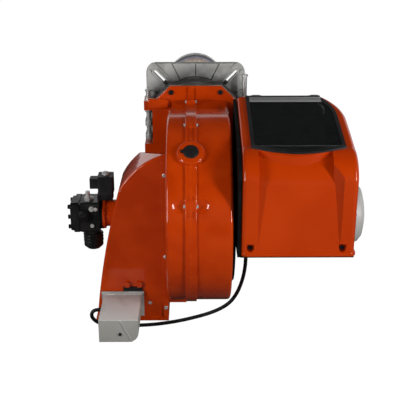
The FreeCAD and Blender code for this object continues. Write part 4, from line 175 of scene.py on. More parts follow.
# Servo cable: a round lead with a black rubber sheath, dull and a little dusty. It leaves the gland
# below the panel, hangs round under the fan casing and turns back in a small loop into the gland on the
# servo's side.
cable_thick = 0.010
cable_route = [(0.129, -0.365, -0.2673), (0.129, -0.365, -0.296), (0.1285, -0.362, -0.326),
               (0.125, -0.357, -0.357), (0.118, -0.352, -0.388), (0.107, -0.349, -0.418),
               (0.0895, -0.348, -0.444), (0.064, -0.348, -0.462), (0.034, -0.348, -0.4755),
               (0, -0.348, -0.486), (-0.036, -0.348, -0.4955), (-0.074, -0.348, -0.503),
               (-0.113, -0.348, -0.5085), (-0.152, -0.348, -0.511), (-0.190, -0.3485, -0.5115),
               (-0.224, -0.3495, -0.511), (-0.252, -0.351, -0.5065), (-0.272, -0.3525, -0.496),
               (-0.283, -0.353, -0.481), (-0.280, -0.353, -0.466), (-0.268, -0.353, -0.460),
               (-0.256, -0.353, -0.460)]


def new_material(name, colour, roughness, metallic=0.0):
    """A material with its own Principled shader; gives the material, its tree and its shader."""
    material = bpy.data.materials.new(name)
    material.use_nodes = True
    tree = material.node_tree
    shader = tree.nodes["Principled BSDF"]
    shader.inputs["Base Color"].default_value = (*colour, 1)
    shader.inputs["Roughness"].default_value = roughness
    shader.inputs["Metallic"].default_value = metallic
    material.diffuse_color = (*colour, 1)
    return material, tree, shader


def feed(tree, shader, **sources):
    """Joins sockets to the shader's inputs, which are named as they are but in small letters."""
    for name, source in sources.items():
        tree.links.new(source, shader.inputs[name.replace("_", " ").title()])


def object_noise(tree, scale, detail=3.0, stretch=(1, 1, 1)):
    """Noise in the piece's own space, drawn out along an axis where stretch is small."""
    place = tree.nodes.new("ShaderNodeTexCoord")
    mapping = tree.nodes.new("ShaderNodeMapping")
    mapping.inputs["Scale"].default_value = stretch
    noise = tree.nodes.new("ShaderNodeTexNoise")
    noise.inputs["Scale"].default_value = scale
    noise.inputs["Detail"].default_value = detail
    tree.links.new(place.outputs["Object"], mapping.inputs["Vector"])
    tree.links.new(mapping.outputs["Vector"], noise.inputs["Vector"])
    return noise.outputs["Fac"]


def bump(tree, height, distance):
    """A relief of a given depth in metres."""
    relief = tree.nodes.new("ShaderNodeBump")
    relief.inputs["Distance"].default_value = distance
    tree.links.new(height, relief.inputs["Height"])
    return relief.outputs["Normal"]


def mix_colours(tree, mask, first, second):
    """A colour between two, each a colour or a socket, by a mask."""
    blend = tree.nodes.new("ShaderNodeMix")
    blend.data_type = "RGBA"
    colour_inputs = [socket for socket in blend.inputs if socket.type == "RGBA"]
    for socket, colour in zip(colour_inputs, (first, second)):
        if isinstance(colour, bpy.types.NodeSocket):
            tree.links.new(colour, socket)
        else:
            socket.default_value = (*colour, 1)
    tree.links.new(mask, blend.inputs["Factor"])
    return next(socket for socket in blend.outputs if socket.type == "RGBA")


def blotches(tree, mask, low, high, first, second):
    """A colour that passes into another as a mask rises from low to high."""
    return mix_colours(tree, ramp(tree, mask, low, high, 0, 1), first, second)


sheath, tree, shader = new_material("cable_sheath", (0.006, 0.006, 0.006), 0.5)
shader.inputs["Specular IOR Level"].default_value = 0.25
smear = object_noise(tree, 60)
feed(tree, shader,
     base_color=blotches(tree, smear, 0.45, 0.75, (0.005, 0.005, 0.005), (0.014, 0.0135, 0.013)),
     roughness=ramp(tree, smear, 0.3, 0.7, 0.42, 0.58),
     normal=bump(tree, object_noise(tree, 900, 2), 0.00012))

line = bpy.data.curves.new("servo_lead", "CURVE")
line.dimensions = "3D"
line.bevel_depth = cable_thick / 2
line.bevel_resolution = 6
line.resolution_u = 8
spline = line.splines.new("NURBS")
spline.points.add(len(cable_route) - 1)
for point, place in zip(spline.points, cable_route):
    point.co = (*place, 1)
spline.order_u = 3
spline.use_endpoint_u = True
lead = bpy.data.objects.new("servo_lead", line)
bpy.context.collection.objects.link(lead)
line.materials.append(sheath)
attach(lead, "burner_body")
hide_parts("servo_cable")

# Mounting flange: a square aluminium casting, left matt as cast, with painted shade darkening it round
# its hub.
# Raised panels lie between its ribs, four slots take the boiler's studs, and the knuckles of the hinge
# stand on its rear face, all cast in one.
plate_half = 0.140
plate_thick = 0.009
plate_corner = 0.028
hub_radius = 0.100
hub_deep = 0.030
bore_radius = 0.0904
panel_lift = 0.0045
panel_groove = 0.0022
rib_turns = (26, 64)
bar_outer, bar_inner = 0.017, -0.006
slot_near, slot_far, slot_wide = 0.1165, 0.166, 0.009
rim_margin, rim_rear, rim_front = 0.0045, -0.0165, -0.004
hinge_lines = (-0.134, 0.138)
hinge_back = -0.040
knuckle_radius, knuckle_bore, knuckle_high = 0.010, 0.0068, 0.016
knuckle_top, knuckle_step = 0.0055, 0.040
web_half, web_front = 0.0099, -0.004
cut_past = 0.010
round_sides = 96
hub_shade_full, hub_shade_none = 0.088, 0.160


def new_group(name, inputs, outputs):
    """A shader group with named sockets; inputs are (name, default) values."""
    group = bpy.data.node_groups.new(name, "ShaderNodeTree")
    for socket, value in inputs:
        entry = group.interface.new_socket(socket, in_out="INPUT", socket_type="NodeSocketFloat")
        entry.default_value = value
    for socket, kind in outputs:
        group.interface.new_socket(socket, in_out="OUTPUT", socket_type=kind)
    return group, group.nodes.new("NodeGroupInput"), group.nodes.new("NodeGroupOutput")


def group_in(tree, group, **values):
    """Places a shared group in a material with its own values."""
    node = tree.nodes.new("ShaderNodeGroup")
    node.node_tree = group
    for name, value in values.items():
        node.inputs[name.replace("_", " ").capitalize()].default_value = value
    return node


def scaled_noise(group, source, socket, detail):
    """Noise in the piece's own space, whose scale comes from one of the group's inputs."""
    place = group.nodes.new("ShaderNodeTexCoord")
    noise = group.nodes.new("ShaderNodeTexNoise")
    noise.inputs["Detail"].default_value = detail
    group.links.new(source.outputs[socket], noise.inputs["Scale"])
    group.links.new(place.outputs["Object"], noise.inputs["Vector"])
    return noise.outputs["Fac"]


grain, entry, leave = new_group("surface_grain",
                                (("Scale", 300), ("Wave scale", 20), ("Depth", 0.0001),
                                 ("Wave depth", 0.0004)),
                                (("Mask", "NodeSocketFloat"), ("Normal", "NodeSocketVector")))
fine = scaled_noise(grain, entry, "Scale", 3)
wave = scaled_noise(grain, entry, "Wave scale", 1)
broad = grain.nodes.new("ShaderNodeBump")
tight = grain.nodes.new("ShaderNodeBump")
grain.links.new(wave, broad.inputs["Height"])
grain.links.new(entry.outputs["Wave depth"], broad.inputs["Distance"])
grain.links.new(fine, tight.inputs["Height"])
grain.links.new(entry.outputs["Depth"], tight.inputs["Distance"])
grain.links.new(broad.outputs["Normal"], tight.inputs["Normal"])
grain.links.new(tight.outputs["Normal"], leave.inputs["Normal"])
grain.links.new(wave, leave.inputs["Mask"])

wear, entry, leave = new_group("edge_wear", (("Radius", 0.0015), ("Amount", 1.0), ("Breakup", 90)),
                               (("Mask", "NodeSocketFloat"),))
rounded = wear.nodes.new("ShaderNodeBevel")
rounded.samples = 4
facing = wear.nodes.new("ShaderNodeNewGeometry")
agree = wear.nodes.new("ShaderNodeVectorMath")
agree.operation = "DOT_PRODUCT"
wear.links.new(entry.outputs["Radius"], rounded.inputs["Radius"])
wear.links.new(rounded.outputs["Normal"], agree.inputs[0])
wear.links.new(facing.outputs["Normal"], agree.inputs[1])
edge = ramp(wear, agree.outputs["Value"], 0.97, 0.80, 0, 1)
patchy = ramp(wear, scaled_noise(wear, entry, "Breakup", 4), 0.42, 0.62, 0, 1)
worn = maths(wear, "MULTIPLY", edge, patchy)
wear.links.new(maths(wear, "MULTIPLY", worn, entry.outputs["Amount"]), leave.inputs["Mask"])


def from_tube_axis(tree):
    """Distance in metres from the axis of the blast tube."""
    place = tree.nodes.new("ShaderNodeTexCoord")
    flat = tree.nodes.new("ShaderNodeVectorMath")
    flat.operation = "MULTIPLY"
    flat.inputs[1].default_value = (1, 0, 1)
    length = tree.nodes.new("ShaderNodeVectorMath")
    length.operation = "LENGTH"
    tree.links.new(place.outputs["Object"], flat.inputs[0])
    tree.links.new(flat.outputs[0], length.inputs[0])
    return length.outputs["Value"]


cast, tree, shader = new_material("cast_aluminium_raw", (0.46, 0.46, 0.44), 0.5, 0.35)
skin = group_in(tree, grain, scale=420, wave_scale=26, depth=0.00025, wave_depth=0.00012)
tone = blotches(tree, skin.outputs["Mask"], 0.35, 0.65, (0.42, 0.42, 0.40), (0.52, 0.52, 0.50))
# Painted shade: the casting turns dark towards the hub, broken up by noise, as if the collar and ribs
# shaded it.
hub_shade_reach = ramp(tree, from_tube_axis(tree), hub_shade_full, hub_shade_none, 1, 0)
hub_shade = maths(tree, "MULTIPLY", hub_shade_reach, ramp(tree, object_noise(tree, 28, 4), 0.3, 0.6, 0.45, 1))
tone = mix_colours(tree, hub_shade, tone, (0.06, 0.058, 0.055))
bright = group_in(tree, wear, radius=0.0012, amount=0.8)
feed(tree, shader,
     base_color=mix_colours(tree, bright.outputs["Mask"], tone, (0.62, 0.62, 0.60)),
     roughness=ramp(tree, skin.outputs["Mask"], 0.3, 0.7, 0.40, 0.62),
     normal=skin.outputs["Normal"])


def just(*pieces):
    """Selects these pieces and nothing else; the last one becomes the active one."""
    bpy.ops.object.select_all(action="DESELECT")
    for piece in pieces:
        piece.select_set(True)
    bpy.context.view_layer.objects.active = pieces[-1]


def settle_place():
    """Moves the place, turn and scale of what is selected into its mesh."""
    bpy.ops.object.transform_apply(location=True, rotation=True, scale=True)


def middle_of(low, high):
    """The middle of a box between two corners."""
    return Vector([(a + b) / 2 for a, b in zip(low, high)])


def block(name, low, high):
    """A box between two corners, to be shaped further."""
    bpy.ops.object.select_all(action="DESELECT")
    bpy.ops.mesh.primitive_cube_add(size=1, location=middle_of(low, high))
    piece = bpy.context.object
    piece.name = name
    piece.scale = [b - a for a, b in zip(low, high)]
    settle_place()
    return piece


def rod(name, start, end, radius, sides=32):
    """A round or many-sided bar between two points, to be shaped further."""
    bpy.ops.object.select_all(action="DESELECT")
    run = Vector(end) - Vector(start)
    bpy.ops.mesh.primitive_cone_add(vertices=sides, radius1=radius, radius2=radius, depth=run.length,
                                    location=(Vector(start) + Vector(end)) / 2)
    piece = bpy.context.object
    piece.name = name
    piece.rotation_euler = run.to_track_quat("Z", "Y").to_euler()
    settle_place()
    return piece


def runs_back(a, b):
    """True for an edge that runs along Y, from the front of a piece to its back."""
    return abs(a.y - b.y) > 0.001


def bevel_edges(piece, width, wanted, steps):
    """Rounds the edges whose two ends pass a test."""
    just(piece)
    bpy.ops.object.mode_set(mode="EDIT")
    bpy.ops.mesh.select_mode(type="EDGE")
    bpy.ops.mesh.select_all(action="DESELECT")
    bpy.ops.object.mode_set(mode="OBJECT")
    mesh = piece.data
    for side in mesh.edges:
        side.select = wanted(*(mesh.vertices[index].co for index in side.vertices))
    bpy.ops.object.mode_set(mode="EDIT")
    bpy.ops.mesh.bevel(offset=width, segments=steps, affect="EDGES")
    bpy.ops.object.mode_set(mode="OBJECT")


def pick_faces(piece, wanted):
    """Selects the faces whose middle and normal pass a test, and stays in edit mode."""
    just(piece)
    bpy.ops.object.mode_set(mode="EDIT")
    bpy.ops.mesh.select_mode(type="FACE")
    bpy.ops.mesh.select_all(action="DESELECT")
    bpy.ops.object.mode_set(mode="OBJECT")
    for face in piece.data.polygons:
        face.select = wanted(face.center, face.normal)
    bpy.ops.object.mode_set(mode="EDIT")


def combine(piece, tool, how="DIFFERENCE"):
    """Cuts a tool out of a piece, or adds it, and takes the tool away."""
    just(piece)
    step = piece.modifiers.new(how.lower(), "BOOLEAN")
    step.operation = how
    step.solver = "EXACT"
    step.object = tool
    bpy.ops.object.modifier_apply(modifier=step.name)
    bpy.data.objects.remove(tool, do_unlink=True)


def soften(piece, width, steps=2, angle=40):
    """Breaks the edges of a piece that are sharper than an angle."""
    just(piece)
    step = piece.modifiers.new("soft_edges", "BEVEL")
    step.width = width
    step.segments = steps
    step.limit_method = "ANGLE"
    step.angle_limit = math.radians(angle)
    bpy.ops.object.modifier_apply(modifier=step.name)


def join(name, pieces):
    """Joins pieces into the last of them and names it."""
    just(*pieces)
    bpy.ops.object.join()
    pieces[-1].name = name
    return pieces[-1]


def fit(piece, material, body, slot, *stands_for):
    """Gives a finished piece its material, its body and the nodes that it replaces; the slot is not used.
    """
    just(piece)
    bpy.ops.object.shade_smooth_by_angle(angle=math.radians(35))
    piece.data.materials.clear()
    piece.data.materials.append(material)
    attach(piece, body)
    if stands_for:
        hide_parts(*stands_for)


def faces_rear(middle, normal):
    """True for a face that looks to the rear, away from the boiler."""
    return normal.y < -0.9


corners = [(side, up) for side in (1, -1) for up in (1, -1)]
plate = block("flange_casting", (-plate_half, -plate_thick, -plate_half), (plate_half, 0, plate_half))
bevel_edges(plate, plate_corner, runs_back, 8)


def score(place, normal, wanted=faces_rear):
    """Scores the plate's rear face along a line."""
    pick_faces(plate, wanted)
    bpy.ops.mesh.bisect(plane_co=place, plane_no=normal)
    bpy.ops.object.mode_set(mode="OBJECT")


for normal in ((1, 0, 0), (0, 0, 1)):
    score((0, 0, 0), normal)
for side, up in corners:
    def in_quarter(middle, normal):
        """True for a face on the rear of this quarter of the plate."""
        return faces_rear(middle, normal) and middle.x * side > 0 and middle.z * up > 0

    for turn in rib_turns:
        score((0, 0, 0), (side * math.cos(math.radians(turn)), 0, -up * math.sin(math.radians(turn))),
              in_quarter)
    across = Vector((-side, 0, up)).normalized()
    for offset in (bar_outer, bar_inner):
        score(across * offset, across, in_quarter)
combine(plate, rod("hub", (0, 0, 0), (0, -hub_deep, 0), hub_radius, round_sides), "UNION")
combine(plate, rod("bore", (0, cut_past, 0), (0, -hub_deep - 2 * cut_past, 0), bore_radius, round_sides))


def slot_tool(side, up, margin=0.0, rear=-0.05, front=0.02):
    """The shape of one slot for a boiler stud, on a corner's diagonal, or of the rim round it."""
    half = slot_wide / 2 + margin
    tool = block("slot", (slot_near - margin, rear, -half), (slot_far + margin, front, half))
    bevel_edges(tool, half - 0.0002, runs_back, 5)
    tool.rotation_euler = (0, -math.atan2(up, side), 0)
    just(tool)
    settle_place()
    return tool


slot_rims = []
for side, up in corners:
    combine(plate, slot_tool(side, up))
    rim = slot_tool(side, up, rim_margin, rim_rear, rim_front)
    combine(rim, slot_tool(side, up))
    soften(rim, 0.0008, 2, 50)
    slot_rims.append(rim)


def on_panel(middle, normal):
    """True for a face of the plate's rear between two scored lines, off the slots' bars."""
    across = Vector((-math.copysign(1, middle.x), 0, math.copysign(1, middle.z))).normalized()
    on_plate = abs(middle.y + plate_thick) < 0.0005
    return faces_rear(middle, normal) and on_plate and not bar_inner < across.dot(middle) < bar_outer


pick_faces(plate, on_panel)
bpy.ops.mesh.inset(thickness=panel_groove, depth=panel_lift, use_individual=True)
bpy.ops.object.mode_set(mode="OBJECT")
soften(plate, 0.0007, 2, 30)
knuckles = []
for across in hinge_lines:
    for number in range(3):
        low = knuckle_top - knuckle_step * number
        high = low + knuckle_high
        barrel = rod("knuckle", (across, hinge_back, low), (across, hinge_back, high), knuckle_radius, 40)
        web = block("web", (across - web_half, hinge_back, low), (across + web_half, web_front, high))
        combine(barrel, web, "UNION")
        combine(barrel, rod("bore", (across, hinge_back, low - cut_past),
                            (across, hinge_back, high + cut_past), knuckle_bore, 40))
        soften(barrel, 0.0008, 2, 50)
        knuckles.append(barrel)
fit(join("flange_casting", [*knuckles, *slot_rims, plate]), cast, "flange", "cast_aluminium",
    "mounting_flange")

# Slot stops: black rubber plugs, each a stem with a wider cap; their black is painted shade for the
# shaded inner ends of the slots.
# They are pushed into the inner ends of the flange's four slots.
stop_reach = 0.1205
stem_radius, stem_front, stem_rear = 0.0042, -0.002, -0.0195
cap_radius, cap_front, cap_rear = 0.0062, -0.0176, -0.0210
stop_shade_black = (0.006, 0.006, 0.006)
dusty_black = (0.020, 0.019, 0.018)
# Painted shade: the plugs' black stands for the shade in the inner ends of the slots.
shade_black_rubber, tree, shader = new_material("black_stop_rubber_painted_shade", (0.008, 0.008, 0.008), 0.6)
feed(tree, shader, base_color=mix_colours(tree, object_noise(tree, 300), stop_shade_black, dusty_black))
for side, up in corners:
    reach = Vector((side, 0, up)).normalized() * stop_reach
    stop = rod("slot_stop_" + ("left", "right")[side > 0] + ("_low", "_high")[up > 0],
               (reach.x, stem_front, reach.z), (reach.x, stem_rear, reach.z), stem_radius, 24)
    combine(stop, rod("cap", (reach.x, cap_front, reach.z), (reach.x, cap_rear, reach.z), cap_radius, 24),
            "UNION")
    soften(stop, 0.0008, 3, 50)
    fit(stop, shade_black_rubber, "flange", "black_rubber")

# Boiler gasket and the seal of the body's plate: boards of woven heat-proof fibre, pale and matt.
# The gasket is cut to the flange's outline, bore and slots and is clamped between flange and boiler.
gasket_half = 0.138
gasket_thick = 0.005
gasket_corner = 0.026
weave_scale, weave_uneven, weave_depth = 260, 2.5, 0.0005


def dress(material, *names):
    """Gives CAD pieces a better material."""
    for name in names:
        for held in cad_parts[name].material_slots:
            held.material = material


gasket = block("gasket_board", (-gasket_half, 0, -gasket_half), (gasket_half, gasket_thick, gasket_half))
bevel_edges(gasket, gasket_corner, runs_back, 6)
combine(gasket, rod("bore", (0, -cut_past, 0), (0, 2 * cut_past, 0), bore_radius, round_sides))
for side, up in corners:
    combine(gasket, slot_tool(side, up))
board, tree, shader = new_material("fibre_board", (0.52, 0.49, 0.42), 0.95)
threads = tree.nodes.new("ShaderNodeTexWave")
threads.bands_direction = "DIAGONAL"
threads.inputs["Scale"].default_value = weave_scale
threads.inputs["Distortion"].default_value = weave_uneven
place = tree.nodes.new("ShaderNodeTexCoord")
tree.links.new(place.outputs["Object"], threads.inputs["Vector"])
feed(tree, shader,
     base_color=mix_colours(tree, threads.outputs["Fac"], (0.42, 0.39, 0.33), (0.60, 0.57, 0.50)),
     normal=bump(tree, threads.outputs["Fac"], weave_depth))
fit(gasket, board, "flange", "seal_rope", "boiler_gasket")
dress(board, "door_seal")

# Blast tube, diffuser disc and inlet ring: heat-proof steel sheet, rolled or pressed, with brushed marks
# along it. The end of the tube that stands in the flame has turned straw, brown and blue.
tint_start, tint_end, tint_wander = 0.12, 0.45, 0.05
heat_tints = ((0.0, (0.50, 0.49, 0.47)), (0.45, (0.50, 0.46, 0.38)), (0.62, (0.42, 0.29, 0.14)),
              (0.76, (0.24, 0.11, 0.10)), (0.88, (0.09, 0.10, 0.20)), (1.0, (0.10, 0.11, 0.14)))


def vector_part(tree, vector, letter):
    """One part of a vector, such as its height."""
    apart = tree.nodes.new("ShaderNodeSeparateXYZ")
    tree.links.new(vector, apart.inputs[0])
    return apart.outputs[letter]


steel, tree, shader = new_material("rolled_steel", (0.50, 0.49, 0.47), 0.34, 1.0)
brushed = object_noise(tree, 70, 5, (6, 0.4, 6))
along = vector_part(tree, tree.nodes.new("ShaderNodeTexCoord").outputs["Object"], "Y")
uneven = maths(tree, "MULTIPLY", object_noise(tree, 12, 3), tint_wander)
tint = tree.nodes.new("ShaderNodeValToRGB")
steps = tint.color_ramp.elements
for index, (position, colour) in enumerate((heat_tints[0], heat_tints[-1])):
    steps[index].position = position
    steps[index].color = (*colour, 1)
for position, colour in heat_tints[1:-1]:
    steps.new(position).color = (*colour, 1)
tree.links.new(ramp(tree, maths(tree, "ADD", along, uneven), tint_start, tint_end, 0, 1),
               tint.inputs["Fac"])
feed(tree, shader,
     base_color=tint.outputs["Color"],
     roughness=ramp(tree, brushed, 0.3, 0.7, 0.26, 0.46),
     normal=bump(tree, brushed, 0.0002))
dress(steel, "blast_tube", "diffuser_disc", "inlet_cone")

# End ring of the blast tube: a plain pressed ring of brighter steel.
# It is slipped over the tube's end and spot welded there.
ring_steel, tree, shader = new_material("ring_steel", (0.56, 0.55, 0.53), 0.4, 0.9)
brushed = object_noise(tree, 60, 5, (4, 0.5, 4))
feed(tree, shader,
     base_color=blotches(tree, brushed, 0.35, 0.7, (0.60, 0.59, 0.57), (0.40, 0.39, 0.37)),
     roughness=ramp(tree, brushed, 0.3, 0.7, 0.34, 0.5))
dress(ring_steel, "tube_end_ring")

# Head collar and spider: cast and pressed steel in dark grey heat-proof paint.
# The paint is brushed on and has a dry, slightly chalky skin.
dark, tree, shader = new_material("dark_heat_paint", (0.045, 0.042, 0.038), 0.62)
skin = group_in(tree, grain, scale=520, wave_scale=34, depth=0.00018, wave_depth=0.0003)
feed(tree, shader,
     base_color=blotches(tree, skin.outputs["Mask"], 0.35, 0.7, (0.034, 0.032, 0.030),
                         (0.062, 0.058, 0.053)),
     roughness=ramp(tree, skin.outputs["Mask"], 0.3, 0.7, 0.52, 0.7),
     normal=skin.outputs["Normal"])
dress(dark, "head_collar", "head_spider")

# Burner head: a turned brass lance with two nozzles, stained by oil and heat, and two electrodes in
# white glazed ceramic sleeves, clamped beside the nozzles.
turned_brass, tree, shader = new_material("turned_brass", (0.62, 0.42, 0.15), 0.3, 1.0)
stain = object_noise(tree, 45, 4)
feed(tree, shader,
     base_color=blotches(tree, stain, 0.45, 0.7, (0.66, 0.46, 0.18), (0.34, 0.20, 0.07)),
     roughness=ramp(tree, stain, 0.3, 0.7, 0.22, 0.48))
dress(turned_brass, "oil_lance", "nozzles")
glaze, tree, shader = new_material("glazed_ceramic", (0.72, 0.69, 0.62), 0.16)
feed(tree, shader, base_color=blotches(tree, object_noise(tree, 80, 4), 0.5, 0.72, (0.74, 0.71, 0.64),
                                       (0.50, 0.42, 0.32)))
dress(glaze, "ignition_electrodes")

# Hinge pins and motor shaft: ground steel rods with a bright plating, spotted where it is worn.
# The pins drop through the knuckles from above.
plated, tree, shader = new_material("plated_pin", (0.72, 0.72, 0.71), 0.3, 0.75)
feed(tree, shader,
     base_color=blotches(tree, object_noise(tree, 260, 4), 0.58, 0.72, (0.74, 0.74, 0.73),
                         (0.40, 0.38, 0.34)),
     roughness=ramp(tree, object_noise(tree, 50, 3, (1, 1, 0.1)), 0.3, 0.7, 0.24, 0.40))
dress(plated, "left_hinge_pin", "right_hinge_pin", "motor_shaft")

# Screws, clips, fittings and small sheet parts: steel with a bright zinc plating, slightly clouded.
# The screws hold the casing's halves and the intake box, and the clips stop the hinge pins.
zinc, tree, shader = new_material("zinc_plate", (0.72, 0.72, 0.70), 0.32, 0.5)
cloud = object_noise(tree, 380, 3)
feed(tree, shader,
     base_color=blotches(tree, cloud, 0.4, 0.7, (0.74, 0.74, 0.72), (0.55, 0.54, 0.51)),
     roughness=ramp(tree, cloud, 0.3, 0.7, 0.24, 0.44))
dress(zinc, "left_pin_clip", "right_pin_clip", "valve_stem", "pump_fittings", "damper_link",
      "damper_blade_left", "damper_blade_right", "motor_bearings", "fan_wheel", "shell_screws",
      "intake_screws")


# Fan casing, intake box and pump spacer: aluminium castings in baked orange enamel, glossy over the
# casting's soft waves. The enamel is thin on edges, where it looks lighter, and has a faint orange-peel
# skin. The casing's two halves are screwed together at the middle rib.
def enamel(name, wave_scale, wave_depth, edge_light):
    """Orange stoved enamel over a casting or a moulding."""
    material, tree, shader = new_material(name, (0.50, 0.040, 0.001), 0.3)
    skin = group_in(tree, grain, scale=900, wave_scale=wave_scale, depth=0.00002, wave_depth=wave_depth)
    tone = blotches(tree, skin.outputs["Mask"], 0.3, 0.7, (0.47, 0.035, 0.0005), (0.54, 0.045, 0.001))
    thin = group_in(tree, wear, radius=0.0022, amount=edge_light)
    feed(tree, shader,
         base_color=mix_colours(tree, thin.outputs["Mask"], tone, (0.85, 0.13, 0.012)),
         roughness=ramp(tree, skin.outputs["Mask"], 0.3, 0.7, 0.25, 0.34),
         normal=skin.outputs["Normal"],
         coat_normal=skin.outputs["Normal"])
    shader.inputs["Specular IOR Level"].default_value = 0.06
    shader.inputs["Coat Weight"].default_value = 0.8
    shader.inputs["Coat Roughness"].default_value = 0.06
    return material


cast_enamel = enamel("orange_enamel_cast", wave_scale=16, wave_depth=0.0009, edge_light=0.7)
dress(cast_enamel, "left_body_shell", "right_body_shell", "intake_box", "pump_spacer")

# Lug rib: the upper hinge lug of the casing runs on as a flat rib over the back of the plate.
# It is cast in one with the casing and has the same orange enamel.
lug_low, lug_high = (-0.1330, -0.1000, 0.0290), (-0.0760, -0.0850, 0.0560)
lug_corner = 0.009
lug_rib = block("lug_rib", lug_low, lug_high)
middle = middle_of(lug_low, lug_high)
bevel_edges(lug_rib, lug_corner, lambda a, b: runs_back(a, b) and a.x > middle.x, 5)
soften(lug_rib, 0.0022, 3)
fit(lug_rib, cast_enamel, "burner_body", "orange_paint")

# Panel hood: a one-piece moulded cover in the same orange, smoother than the castings.
# It is held to the chassis by two screws in its lower corners.
hood_enamel = enamel("orange_enamel_hood", wave_scale=7, wave_depth=0.0004, edge_light=0.4)
dress(hood_enamel, "panel_hood")


# Motor plate, chassis, servo bracket, lid hinges and the dark screws: steel in black powder paint.
# The large plates are duller than the small parts.
def coarse_black(name, colour, lighter, roughness, scale, depth, edge_light, shine=0.3):
    """Black paint or plastic with a fine texture, a little lighter where it is rubbed."""
    material, tree, shader = new_material(name, colour, roughness)
    skin = group_in(tree, grain, scale=scale, wave_scale=30, depth=depth, wave_depth=0.0002)
    tone = blotches(tree, skin.outputs["Mask"], 0.35, 0.7, colour, lighter)
    rubbed = group_in(tree, wear, radius=0.0010, amount=edge_light)
    feed(tree, shader,
         base_color=mix_colours(tree, rubbed.outputs["Mask"], tone, [6 * part for part in lighter]),
         roughness=ramp(tree, skin.outputs["Mask"], 0.3, 0.7, roughness - 0.06, roughness + 0.08),
         normal=skin.outputs["Normal"])
    shader.inputs["Specular IOR Level"].default_value = shine
    return material


powder = coarse_black("black_powder_paint", (0.008, 0.008, 0.009), (0.014, 0.014, 0.015),
                      roughness=0.42, scale=700, depth=0.00012, edge_light=0.6)
chassis_black = coarse_black("black_chassis_paint", (0.003, 0.003, 0.003), (0.006, 0.006, 0.006),
                             roughness=0.6, scale=700, depth=0.00012, edge_light=0.1, shine=0.12)
dress(chassis_black, "motor_plate", "panel_chassis")
dress(powder, "servo_bracket", "servo_screw", "lid_hinges", "plate_bolts", "pump_cover_bolts",
      "panel_screws")

# Oil pump, its cover, valve block and filter cap: machined castings, dipped in black paint.
# The cover and the valve block are bolted on, and the filter cap screws in from below.
pump_black = coarse_black("pump_black_paint", (0.007, 0.007, 0.007), (0.015, 0.014, 0.014),
                          roughness=0.34, scale=420, depth=0.0003, edge_light=0.9)
dress(pump_black, "pump_body", "pump_cover", "valve_block", "pump_filter_cap")

# Pump nuts: turned hexagon nuts of zinc-plated steel, screwed on the coil's stem, on the gauge port and
# on the feed pipe's fitting.
pump_nut_runs = (("coil_nut", (-0.240, -0.250, -0.1125), (-0.240, -0.250, -0.1075), 0.0075),
                 ("port_nut", (-0.281, -0.256, -0.1800), (-0.281, -0.256, -0.1740), 0.0080),
                 ("feed_nut", (-0.2637, -0.3030, -0.1900), (-0.2637, -0.3085, -0.1900), 0.0055))
nuts = [rod(*run, 6) for run in pump_nut_runs]
for nut in nuts:
    soften(nut, 0.0007, 2, 30)
fit(join("pump_nuts", nuts), zinc, "burner_body", "zinc_screws")

# Pump plug: a round screw plug with a slot for a screwdriver, in a raised seat ring, both dipped in the
# pump's black paint. It closes the pressure setting.
plug_x, plug_z = -0.2967, -0.2080
plug_radius, plug_front, plug_rear = 0.0105, -0.3030, -0.3075
seat_radius, seat_front, seat_rear = 0.0135, -0.3025, -0.3050
slit_floor, slit_open, slit_half, slit_side = -0.3058, -0.3085, 0.0083, 0.0008
plug = rod("pump_plug", (plug_x, plug_front, plug_z), (plug_x, plug_rear, plug_z), plug_radius, 40)
soften(plug, 0.0012, 3)
combine(plug, block("slit", (plug_x - slit_half, slit_open, plug_z - slit_side),
                    (plug_x + slit_half, slit_floor, plug_z + slit_side)))
seat = rod("plug_seat", (plug_x, seat_front, plug_z), (plug_x, seat_rear, plug_z), seat_radius, 48)
soften(seat, 0.0009, 3)
fit(join("pump_plug", [seat, plug]), pump_black, "burner_body", "black_metal")

# Filter bands: three narrow raised grips round the pump's filter cap, turned in one with it and painted
# like it, so that it can be unscrewed by hand.
band_tops = (-0.2760, -0.2850, -0.2940)
band_high, band_radius = 0.0030, 0.0272
cap_x, cap_y = -0.279, -0.256
bands = [rod("filter_band", (cap_x, cap_y, top), (cap_x, cap_y, top - band_high), band_radius, 48)
         for top in band_tops]
for band in bands:
    soften(band, 0.0009)
fit(join("filter_bands", bands), pump_black, "burner_body", "black_metal")

# Coil, glands, controller, transformer, knob, coupling and window frame: black moulded plastic with a
# spark-eroded grain. All are bought or moulded parts, screwed or snapped into place.
plastic = coarse_black("black_plastic", (0.010, 0.010, 0.011), (0.016, 0.016, 0.017),
                       roughness=0.5, scale=1100, depth=0.0001, edge_light=0.3)
dress(plastic, "solenoid_coil", "cable_glands", "controller", "ignition_transformer", "selector_knob",
      "pump_coupling", "window_frame")

# Sight cap: a soft plug of black rubber with a bloom of dust.
# It is pushed into the boss of the flame sight.
rubber, tree, shader = new_material("sight_rubber", (0.006, 0.006, 0.006), 0.62)
feed(tree, shader,
     base_color=blotches(tree, object_noise(tree, 150, 4), 0.5, 0.8, (0.005, 0.005, 0.005), dusty_black),
     normal=bump(tree, object_noise(tree, 1400, 2), 0.00008))
dress(rubber, "sight_cap")

